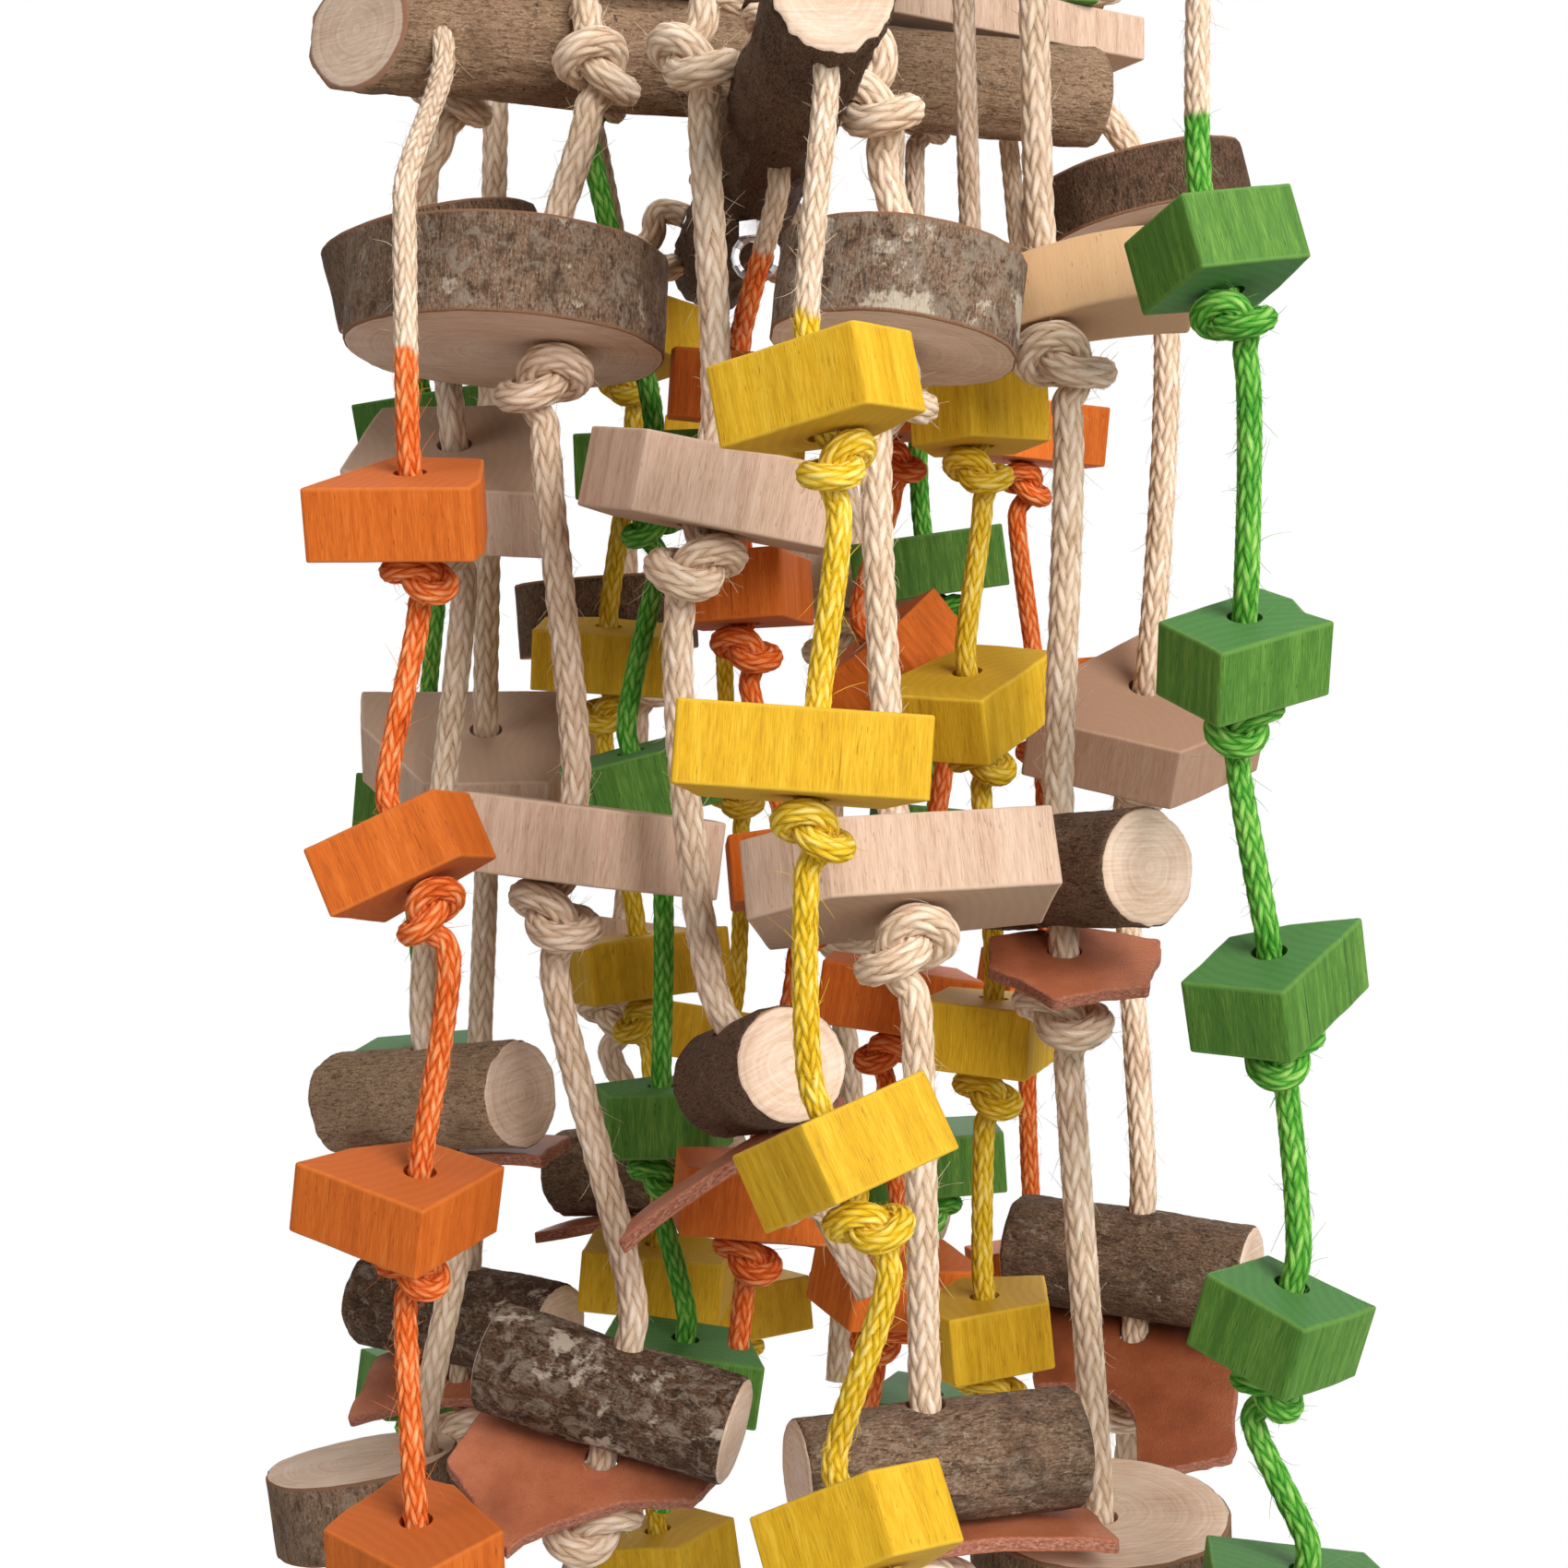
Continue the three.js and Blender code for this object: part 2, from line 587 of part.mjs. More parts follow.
function strandNodes(strand) {
  const group = new THREE.Group();
  group.position.copy(pivotOf(strand));
  settle(strand);
  const rope = loft(ropeStations(strand), strand.whole ? WHOLE_ROPE_SIDES : ROPE_SIDES);
  if (strand.whole) {
    const solids = strand.pieces.map((piece) => {
      const spot = place(new THREE.Object3D(), piece);
      spot.updateMatrix();
      return pieceGeometry(piece, null).applyMatrix4(spot.matrix);
    });
    const colour = strand.rope === THIN ? strand.pieces[0].colour : 'pale';
    group.add(node(`strand_${strand.name}`, join([rope, ...solids]), colour));
    return group;
  }
  group.add(node(`rope_${strand.name}`, rope, strand.rope === THIN ? strand.name : 'sisal'));
  const counts = {};
  const total = (kind) => strand.pieces.filter((piece) => piece.kind === kind).length;
  for (const piece of strand.pieces) {
    counts[piece.kind] = (counts[piece.kind] ?? 0) + 1;
    const number = total(piece.kind) > 1 ? `_${counts[piece.kind]}` : '';
    const name = `${piece.kind}_${strand.name}${number}`;
    group.add(place(node(name, pieceGeometry(piece, strand.rope), piece.colour), piece));
  }
  return group;
}

function drilled(geometry, arm) {
  const deep = 2 * halfHeight(arm, -arm.backReach) + CUT_OVERRUN;
  const holes = STRANDS.filter((strand) => strand.on === arm && !strand.tied);
  const cutters = holes.map((strand) => upright(strand.rope.radius + CROWN_ROOM, deep).translate(strand.along, 0, 0));
  const rodHole = upright(ROD_RADIUS + ROD_ROOM, deep);
  return cut(geometry, [rodHole, ...cutters]);
}

function crownArm(name, geometry, arm, colour) {
  const mesh = node(name, drilled(geometry, arm), colour);
  mesh.position.z = arm.height;
  mesh.rotation.z = degrees(arm.heading);
  return mesh;
}

function crownBranch(name, arm) {
  return crownArm(name, branch(arm.reach, arm.backReach, arm.radius, arm.backRadius), arm, 'bark');
}

function crownBoard() {
  const shape = outlineShape([
    [-BOARD.backReach, -BOARD.width / 2],
    [BOARD.reach, -BOARD.width / 2],
    [BOARD.reach, BOARD.width / 2],
    [-BOARD.backReach, BOARD.width / 2],
  ]);
  const geometry = new THREE.ExtrudeGeometry(shape, { depth: BOARD.thick, bevelEnabled: false });
  return crownArm('crown_board', geometry.translate(0, 0, -BOARD.thick / 2), BOARD, 'pale');
}

function hangRing() {
  const geometry = new THREE.TorusGeometry(RING_RADIUS, RING_WIRE, WIRE_SIDES, RING_SIDES).rotateX(Math.PI / 2);
  return node('hang_ring', geometry.translate(0, 0, ringCentre), 'steel');
}

const rodBottom = crownBottom - REST_GAP - NUT_BORE;

function eyeBolt() {
  const eye = new THREE.TorusGeometry(EYE_RADIUS, EYE_WIRE, WIRE_SIDES, EYE_SIDES).rotateY(Math.PI / 2);
  const rodTop = eyeHeight - EYE_RADIUS;
  const rod = upright(ROD_RADIUS, rodTop - rodBottom).translate(0, 0, (rodTop + rodBottom) / 2);
  const flange = upright(FLANGE_RADIUS, FLANGE_THICK, EYE_SIDES).translate(0, 0, flangeTop - FLANGE_THICK / 2);
  return node('eye_bolt', join([eye.translate(0, 0, eyeHeight), rod, flange]), 'steel');
}

function eyeNut() {
  const top = crownBottom - REST_GAP;
  const collar = upright(NUT_RADIUS, NUT_HEIGHT, NUT_SIDES).translate(0, 0, top - NUT_HEIGHT / 2);
  const loop = new THREE.TorusGeometry(LOOP_RADIUS, LOOP_WIRE, WIRE_SIDES, EYE_SIDES).rotateX(Math.PI / 2);
  loop.translate(0, 0, top - NUT_HEIGHT - LOOP_RADIUS + LOOP_WIRE / 2);
  const depth = NUT_BORE + REST_GAP;
  const bore = upright(ROD_RADIUS + ROD_ROOM, 2 * depth).translate(0, 0, top);
  return node('eye_nut', cut(join([collar, loop]), [bore]), 'steel');
}

const toy = new THREE.Group();
toy.add(hangRing(), eyeBolt(), eyeNut());
toy.add(crownBranch('crown_log_upper', UPPER), crownBoard());
toy.add(crownBranch('crown_log_cross', CROSS), crownBranch('crown_log_front', FRONT));
toy.add(...STRANDS.map(strandNodes));

export default toy;
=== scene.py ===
"""Looks of a hanging parrot toy: bark, sawn and dyed wood, leather, steel and knotted sisal.

Sizes are in millimetres in the part's own frame, +Z up with the viewer on the -Y side, and become
metres where a mesh is made. Each strand repeats the route that its rope takes through its pieces.
"""
import itertools
import json
import math

import bpy
import numpy as np
from mathutils import Matrix, Vector


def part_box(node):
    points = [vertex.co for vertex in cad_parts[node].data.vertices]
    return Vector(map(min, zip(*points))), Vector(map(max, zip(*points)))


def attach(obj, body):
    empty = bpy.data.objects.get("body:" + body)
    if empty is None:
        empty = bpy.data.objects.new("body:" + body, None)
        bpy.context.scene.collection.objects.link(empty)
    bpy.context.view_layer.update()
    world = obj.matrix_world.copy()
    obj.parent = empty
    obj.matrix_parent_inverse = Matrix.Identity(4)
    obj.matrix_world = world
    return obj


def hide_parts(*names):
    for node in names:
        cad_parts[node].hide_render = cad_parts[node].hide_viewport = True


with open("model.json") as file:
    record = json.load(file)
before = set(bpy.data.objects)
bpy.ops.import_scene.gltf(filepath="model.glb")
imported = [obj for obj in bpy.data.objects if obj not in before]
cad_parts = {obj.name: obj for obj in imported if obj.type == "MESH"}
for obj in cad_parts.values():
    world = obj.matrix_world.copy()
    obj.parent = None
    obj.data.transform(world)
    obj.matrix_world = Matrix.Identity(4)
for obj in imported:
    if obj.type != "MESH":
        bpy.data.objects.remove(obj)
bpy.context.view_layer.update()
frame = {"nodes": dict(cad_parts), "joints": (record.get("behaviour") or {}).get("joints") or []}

MM = 0.001
UP = np.array([0.0, 0.0, 1.0])
WHITE = (1, 1, 1, 1)

# Camera, in the photograph's square frame of 1700 pixels
FRAME_PIXELS = 1700
FOCAL_PIXELS = 2600
HUB_PIXEL = 820
CAMERA_BACK = 730
CAMERA_HEIGHT = -339.5
SENSOR = 36

# Floor and light
FLOOR_HEIGHT = -1000
FLOOR_SIZE = 2400
FLOOR_GREY = 0.7
FLOOR_WHITE = 0.75  # share of plain white in what the camera sees of the floor
AMBIENT = 0.1
TOY_MIDDLE = (0, 0, -320)

# Ropes
THICK = {"radius": 4.0, "tail": 24}
THIN = {"radius": 3.0, "tail": 18}
HOLE_ROOM = 1.5
REST_GAP = 0.3
ROPE_LEAD = 5
ROPE_HANDLE = 0.125  # how far a rope runs straight before it bends
ROPE_INSIDE = 6  # length of rope that is modelled inside its branch
HANG_STUB = 3
BRAID_COUNT = 10  # yarns that wind each way round a rope, over two and under two
BRAID_PITCH = 9.4  # length of one turn of a yarn, in rope diameters
BRAID_DEPTH = 0.17
BRAID_TOP = 1.1  # radius over its yarns, in rope radii
KNOT_TALL = 1.15  # how much longer a knot is than the tightest one
KNOT_TOP = 1.25  # from a knot's middle to the piece that rests on it, in rope diameters
KNOT_END = 1.8  # from its middle to where its ends run straight
STOPPER_END = 12
NEAR_ROPE = {"sides": 40, "step": 0.7, "fibres": 1000}
FAR_ROPE = {"sides": 30, "step": 1.2, "fibres": 300}
STOPPER_ROPE = {"sides": 30, "step": 1.0}

# Threaded pieces
BLOCK_THICK = 20
BOARD_THICK = 22
DISC_THICK = 28
LEATHER_THICK = 3.8
LEATHER_ROOM = 0.9
LEATHER_SAG = 3.2  # drop of a leather 40 mm from its hole
LOG_BEVEL = 1.4
BARK_STEP = 1.4  # distance between the rings of points along a branch
BRANCH_SIDES = 88
SLANT_REACH = 60  # length of a branch that its slanted end takes up
SOFT_BEND = 0.3  # corners that turn less, in radians, stay as they are
CAP_TURN = 12

# Where the noise of each arm, strand and piece starts
ARM_SEED = 11.3
BOARD_SEED = 7.7
CAP_SEED = 3.3
STRAND_SEED = 1.37
PIECE_SEED = 5.11
GRAIN_STEP = 97


def crown_arm(node, heading, reach, back, **more):
    return {"node": node, "heading": heading, "reach": reach, "back": back, **more}


# Crown arms: heading of the long end, both reaches, then the radii of both ends
UPPER = crown_arm("crown_log_upper", -45.5, 174, 172, radius=15.5, back_radius=16.5)
CROSS = crown_arm("crown_log_cross", 17.5, 113, 133, radius=15, back_radius=17.5)
FRONT = crown_arm("crown_log_front", -83.9, 169, 133, radius=15, back_radius=16)
BOARD = crown_arm("crown_board", 30, 136, 118, width=36, thick=14)


# Piece builders: [drop, right, back] of the hole's middle from the strand's pivot, then
# [lean, pitch, turn]: right side up, front down, and turn about the hole, in degrees.
# The looks of wood and bark are its tone and its share of lichen.

def placed(kind, colour, at, tilt, **more):
    return {"kind": kind, "colour": colour, "at": at, "tilt": tilt, **more}


def block(colour, at, tilt, outline):
    return placed("block", colour, at, tilt, thick=BLOCK_THICK, outline=outline)


def board(at, tilt, outline, **more):
    return placed("board", "pale", at, tilt, thick=BOARD_THICK, outline=outline, **more)


def disc(at, tilt, radius, centre, thick=DISC_THICK, looks=(0.5, 0.5)):
    outline = {"round": radius, "centre": centre}
    return placed("bark_disc", "bark", at, tilt, thick=thick, outline=outline, looks=looks)


def log(at, tilt, radius, back, reach, looks=(0.5, 0.4), scar=None):
    return placed("log", "bark", at, tilt, radius=radius, back=back, reach=reach, looks=looks, scar=scar)


def leather(tilt, outline, drop=0, colour="leather"):
    """Hangs under its log: tilt gives the way that it slopes from the log's axis, the slope and its turn."""
    slope = math.radians(tilt[1])
    return placed("leather", colour, None, tilt, thick=LEATHER_THICK, outline=outline, drop=drop, slope=slope)


def hung(name, rope, on, along, pieces, **more):
    return {"name": name, "rope": rope, "on": on, "along": along, "pieces": pieces, **more}


def dyed_strand(name, on, along, dyed, rows, **more):
    """A thin rope with blocks, both of the colour that its name starts with."""
    colour = name.split("_")[0]
    return hung(name, THIN, on, along, [block(colour, *row) for row in rows], dyed=dyed, **more)


# Off-cut outlines that repeat on the strands at the back
WEDGE = [[-24, -16], [22, -19], [26, 12], [-4, 20], [-22, 14]]
TRAPEZE = [[-26, -15], [25, -17], [19, 17], [-22, 18]]
KITE = [[-24, -4], [2, -21], [25, -5], [14, 18], [-14, 17]]
CAP_BLOCK = [[-12, -14], [28, -15], [26, 14], [-10, 15]]
LEATHER_SCRAP = {"start": [-36, -18], "steps": [[0, -6, 34, -20], [38, 14], [-10, 20], [-34, 14]]}

# Strands: the branch and the distance along it where the rope hangs, the drop where its dye starts, its
# pieces, and the side of the branch that it is tied on

STRANDS_IN_FRONT = [
    dyed_strand("orange", CROSS, -99, 123, [
        ([136, -3, -42], [1, 20, 0], [[-27, -17], [18, -19], [20, -10], [18, 16], [-7, 22]]),
        ([228, -4, -42], [24, -15, 0], [[-25, -9], [13, -14], [21, 3], [-14, 20]]),
        ([322, -2, -42], [-8, 16, 0],
         {"start": [-33, -4], "steps": [[4, -23], [22, 10], [10, 16, -2, 20], [-20, 9]]}),
        ([414, -1, -46], [1, 12, 0], [[-24, -4], [4, -29], [24, -6], [8, 19], [-8, 26], [-20, 6]]),
    ], tied=1, plain_tie=True, bends=[[52, -5, -43]]),
    dyed_strand("yellow", FRONT, 158, 66, [
        ([79, -2, -2], [10, -6, 0], [[-26, -6], [9, -24], [24, -7], [8, 15], [-12, 10]]),
        ([165, -3, -4], [-4, -5, 0], [[-33, -17], [27, -17], [18, 16], [-28, 15]]),
        ([259, 3, -5], [24, -9, 0], [[-24, 2], [-6, -20], [26, -10], [22, 14], [-10, 18]]),
        ([349, 6, -5], [16, -26, 0], [[-23, -3], [6, -20], [24, -10], [16, 16], [-16, 17]]),
    ]),
    dyed_strand("green", UPPER, 163, 85, [
        ([117, 3, -4], [13, -10, 0], [[-11, -23], [19, -14], [15, 4], [11, 17], [-22, 3]]),
        ([218, 9, -6], [2, 25, 0], [[-22, -1], [-10, -24], [22, -5], [16, 2], [15, 12], [8, 21]]),
        ([302, 16, -10], [11, 22, 0], [[-24, -8], [-1, -22], [26, 10], [8, 13], [-8, 12]]),
        ([385, 17, -14], [-12, 16, 0], [[-23, -3], [-2, -24], [22, -3], [-3, 15]]),
        ([457, 22, -15], [-6, 4, 0], TRAPEZE),
    ]),
    hung("left_front", THICK, CROSS, -58, [
        disc([68, -10, -8], [-2, -4, 0], 46, [-13, 5], looks=(0.45, 0.75)),
        board([222, -5, -5], [-7, 0, 0], [[-30, -14], [10, -22], [44, -10], [40, 16], [-26, 18]]),
        log([379, 9, -10], [-13, 3, -15], 15.5, 39, 36, looks=(0.95, 0.85)),
        leather([0, 28, 12], {
            "start": [-43, -7],
            "steps": [[-19, -39], [-6, -15, 28, -10], [38, 12], [-36, 20]],
        }),
    ], tied=1),
    hung("centre_right", THICK, FRONT, 98, [
        disc([51, 3, 0], [-7, -6, 0], 33, [1, 0], 26, looks=(0.48, 0.95)),
        board([203, 5, 0], [5, -22, 0], [[-42, -8], [-20, -20], [40, -16], [38, 16], [-36, 20]]),
        log([358, 12, 0], [2, 2, 14], 15.5, 36, 42, looks=(0.55, 0.6), scar=(math.pi, 21, 6)),
        leather([0, 0, 0], [[-16, -16], [46, -18], [48, 8], [-14, 15]]),
    ], tied=-1),
    hung("right_front", THICK, UPPER, 107.5, [
        placed("slab", "tan", [116, 6, 12], [7, -10, 0], thick=BLOCK_THICK,
               outline={"start": [-14, -6], "steps": [[8, -26, 37, -18], [40, 14], [12, 6, -14, 20]]}),
        log([275, 10, 18], [2, -2, -58], 16, 37, 37, looks=(0.7, 0.1)),
        leather([58, 25, 0], [[-22, -6], [-7, -29], [20, -21], [29, 9], [6, 15], [-20, 12]], drop=3.7),
        disc([465, 20, 14], [2, 8, 0], 36, [1, 4], 22, looks=(0.6, 0.3)),
    ]),
    hung("centre_left", THICK, FRONT, 77, [
        board([115, 0, 0], [-11, 2, 0], [[-33, 2], [-17, -19], [37, -16], [35, 16], [-24, 20]]),
        log([275, 14, 4], [28, -2, -70], 15.5, 30, 32, looks=(0.8, 0.1)),
        leather([0, 0, 70], [[-53, -14], [16, -16], [18, 12], [-50, 15]]),
    ], tied=1),
    hung("right_back", THICK, BOARD, 125, [
        disc([45, 18, -8], [12, -2, 0], 36, [0, 5], 20, looks=(0.95, 0.1)),
        # Tone 3.2 darkens this whole board towards its dark brown: partly darker wood, partly painted shade
        # that falls on its sides
        board([214, 16.5, -14], [-3, 35, 0], [[-40, -21], [6, -37], [38, -13], [26, 14], [11, 41], [-24, 9]],
              looks=(3.2, 0)),
        log([392, 16, -14], [-3, 2, -26], 17.5, 42, 37, looks=(0.75, 0.5)),
        # This leather is darker than the others: partly its own browner colour, partly painted shade where it
        # lies in shadow under its log
        leather([0, 35, 20], {
            "start": [-34, -16],
            "steps": [[-16, -18], [3, -26, -4, -58], [26, -52], [31, -18], [31, 16], [-30, 20]],
        }, colour="brown"),
    ]),
]

STRANDS_BEHIND = [
    hung("left_back", THICK, CROSS, -92, [
        disc([46, -9, 15], [13, 2, 0], 35, [3, 24.5], 26, looks=(0.65, 0.2)),
        board([113, 2, 19], [0, 34, 0], [[-33, -17], [-6, -30], [30, -33], [34, -8], [18, 29], [-26, 27]]),
        log([306, -5, 21], [9, 2, -35], 16.5, 40, 36, looks=(0.2, 0.2)),
        leather([0, 0, 30], LEATHER_SCRAP),
        disc([428, -6, 19], [8, -1, 0], 30, [-21, 4], 24, looks=(0.4, 0.6)),
    ], tied=-1),
    hung("far_left_back", THICK, UPPER, -127, [
        board([241, -3, -4], [-3, 32, 0], [[-42, -2], [-17, -36], [24, -32], [38, 4], [28, 29], [-45, 22]]),
        log([431, -10, -4], [-4, 2, -28], 17, 40, 38, looks=(0.95, 0.7)),
        leather([0, 28, 20], LEATHER_SCRAP),
    ]),
    hung("rear_left", THICK, FRONT, -108, [
        disc([121, -9, 6], [4, 2, 0], 31, [-8, 4], 26, looks=(0.85, 0.2)),
        board([240, -12, 6], [-6, -8, 20], TRAPEZE),
        log([316, -4, 8], [5, -4, -30], 15, 34, 36),
        leather([0, 0, 12], LEATHER_SCRAP),
    ], tied=1),
    hung("rear_right", THICK, FRONT, -106, [
        board([112, 20, 4], [-5, -6, 10], TRAPEZE),
        disc([215, 14, 8], [3, -6, 0], 30, [4, 6], 24),
        log([327, 20, 11], [-4, -3, -20], 14.5, 34, 34),
        leather([0, 0, -6], LEATHER_SCRAP),
    ], tied=-1),
    dyed_strand("yellow_left", UPPER, -83, 92, [
        ([103, 16, 2], [4, -6, 20], KITE),
        ([208, 9, 2], [-3, 12, 0], WEDGE),
        ([310, 20, 2], [6, 0, 30], TRAPEZE),
        ([412, 25, 2], [-5, 4, 0], WEDGE),
        ([506, 27, 2], [8, 2, 15], KITE),
    ]),
    dyed_strand("green_left", CROSS, -47, 84, [
        ([112, 20, 8], [2, 4, 0], WEDGE),
        ([210, 15, 7], [14, 8, 10], WEDGE),
        ([314, 22, 7], [0, 2, 40], KITE),
        ([392, 28, 7], [-8, 6, 0], TRAPEZE),
    ], tied=-1),
    dyed_strand("orange_centre", FRONT, 60, 29, [
        ([55, -12, 34], [-4, 6, 30], KITE),
        ([114, -10, 36], [3, 0, 80], TRAPEZE),
        ([196, 3, 36], [5, -8, 90], KITE),
        ([292, -7, 36], [-6, 2, 10], WEDGE),
    ]),
    dyed_strand("orange_right", CROSS, 45, 56, [
        ([84, -2, 10], [4, 2, 0], WEDGE),
        ([164, -1, 14], [38, 10, 10], KITE),
        ([270, 2, 14], [-8, 2, 0], TRAPEZE),
        ([360, 0, 14], [-10, 6, 30], WEDGE),
    ], stopper=False),
    dyed_strand("yellow_right", UPPER, 82, 116, [
        ([141, 8, 38], [3, 0, 70], KITE),
        ([227, 6, 38], [8, 20, 60], WEDGE),
        ([324, 12, 38], [-4, 2, 75], TRAPEZE),
        ([412, 11, 38], [6, 4, 50], KITE),
    ]),
    dyed_strand("green_right", CROSS, 60, 112, [
        ([140, 6, 26], [8, 4, 0], TRAPEZE),
        ([231, 8, 28], [-5, -4, 40], KITE),
        ([337, 6, 30], [4, 3, 10], WEDGE),
        ([425, 6, 30], [-6, 2, 70], TRAPEZE),
    ], tied=-1),
    dyed_strand("green_far_left", UPPER, -161, 96, [
        ([121, -5, 16], [9, 6, 0], WEDGE),
        ([258, -9, 19], [-4, -3, 20], KITE),
        ([352, -4, 19], [5, 3, 0], TRAPEZE),
        ([466, -5, 19], [-6, -5, 35], WEDGE),
    ]),
    dyed_strand("orange_far_right", BOARD, 92, 90, [
        ([116, 12, 44], [-5, 4, 20], WEDGE),
        ([206, 17, 50], [4, -6, 0], TRAPEZE),
        ([305, 18, 50], [-8, 3, 50], KITE),
        ([405, 18, 55], [6, -4, 10], WEDGE),
    ], capped=True),
    dyed_strand("yellow_rear", FRONT, -122, 30, [
        ([53, 3, 18], [-4, -8, 10], TRAPEZE),
        ([159, 4, 30], [7, -4, 45], KITE),
        ([264, 3, 33], [-9, -6, 0], WEDGE),
        ([363, 4, 34], [5, 2, 25], TRAPEZE),
    ]),
]

# A strand behind the others is one whole body with its pieces
STRANDS = STRANDS_IN_FRONT + [{**each, "whole": True} for each in STRANDS_BEHIND]


# Small mathematics

def unit(vectors):
    return vectors / np.linalg.norm(vectors, axis=-1, keepdims=True)


def smooth(low, high, value):
    share = np.clip((value - low) / (high - low), 0, 1)
    return share * share * (3 - 2 * share)


def turned(lean, pitch, turn):
    """Rotation of a piece: turn about its hole, then lean, then pitch, in degrees."""
    pitch, lean, turn = (math.radians(angle) for angle in (pitch, lean, turn))
    matrix = Matrix.Rotation(pitch, 3, "X") @ Matrix.Rotation(-lean, 3, "Y") @ Matrix.Rotation(turn, 3, "Z")
    return np.array(matrix)


def lumps(points, size, seed):
    """Smooth noise from -1 to 1 at the points, with lumps of about the size given."""
    spots = points / size
    cell = np.floor(spots)
    part = spots - cell
    ease = part * part * (3 - 2 * part)
    total = np.zeros(points.shape[:-1])
    for corner in itertools.product((0, 1), repeat=3):
        corner = np.array(corner)
        code = (cell + corner) @ np.array([12.9898, 78.233, 37.719]) + seed
        value = np.sin(code) * 43758.5453
        weight = np.where(corner, ease, 1 - ease).prod(axis=-1)
        total += weight * (2 * (value - np.floor(value)) - 1)
    return total


def resample(points, step):
    """The same line with points an even step apart."""
    along = np.concatenate([[0], np.cumsum(np.linalg.norm(np.diff(points, axis=0), axis=1))])
    count = max(2, int(round(along[-1] / step)) + 1)
    even = np.linspace(0, along[-1], count)
    return np.stack([np.interp(even, along, points[:, axis]) for axis in range(3)], axis=1)


def line_length(points):
    return np.linalg.norm(np.diff(points, axis=0), axis=1).sum()


def bezier(start, first, second, end, count=24):
    t = np.linspace(0, 1, count)[:, None]
    return (1 - t) ** 3 * start + 3 * t * (1 - t) ** 2 * first + 3 * t**2 * (1 - t) * second + t**3 * end


def arc(start, bend, end, count):
    """A curve that leaves and arrives along the lines to its bend."""
    t = np.linspace(0, 1, count)[:, None]
    return (1 - t) ** 2 * start + 2 * t * (1 - t) * bend + t**2 * end


def round_angles(count):
    return np.linspace(0, 2 * np.pi, count, endpoint=False)


def circle(angles):
    return np.stack([np.cos(angles), np.sin(angles)], axis=1)


# Materials

def linear(colour):
    """A screen colour of three parts up to 255 as light. Any other value stays as it is."""
    if not isinstance(colour, tuple) or len(colour) != 3:
        return colour
    parts = [part / 255 for part in colour]
    return tuple(p / 12.92 if p <= 0.04045 else ((p + 0.055) / 1.055) ** 2.4 for p in parts) + (1.0,)


def blend(first, second, share):
    return tuple(a + (b - a) * share for a, b in zip(linear(first), linear(second)))


class Value:
    """What a node puts out, for sums and products."""

    def __init__(self, nodes, socket):
        self.nodes = nodes
        self.socket = socket

    def __add__(self, other):
        return self.nodes.math("ADD", self, other)

    def __sub__(self, other):
        return self.nodes.math("SUBTRACT", self, other)

    def __rsub__(self, other):
        return self.nodes.math("SUBTRACT", other, self)

    def __mul__(self, other):
        return self.nodes.math("MULTIPLY", self, other)

    __radd__ = __add__
    __rmul__ = __mul__


class Nodes:
    """The nodes of a material or of the world, made by short calls."""

    def __init__(self, tree):
        self.tree = tree

    def link(self, value, entry):
        self.tree.links.new(value.socket, entry)

    def node(self, kind, inputs, output=0, **settings):
        node = self.tree.nodes.new("ShaderNode" + kind)
        for key, value in settings.items():
            setattr(node, key, value)
        for key, value in inputs.items():
            if isinstance(value, Value):
                self.link(value, node.inputs[key])
            else:
                node.inputs[key].default_value = value
        return Value(self, node.outputs[output])

    def math(self, operation, *values):
        return self.node("Math", dict(enumerate(values)), operation=operation)

    def white_to_camera(self, strength, lit, white):
        """Shows white to the camera and in reflections, and the lit shader to all other rays."""
        seen = 0.0
        for ray in ("Is Camera Ray", "Is Glossy Ray", "Is Transmission Ray"):
            seen = self.math("MAXIMUM", seen, self.node("LightPath", {}, ray))
        return self.node("MixShader", {0: strength * seen, 1: lit, 2: white})


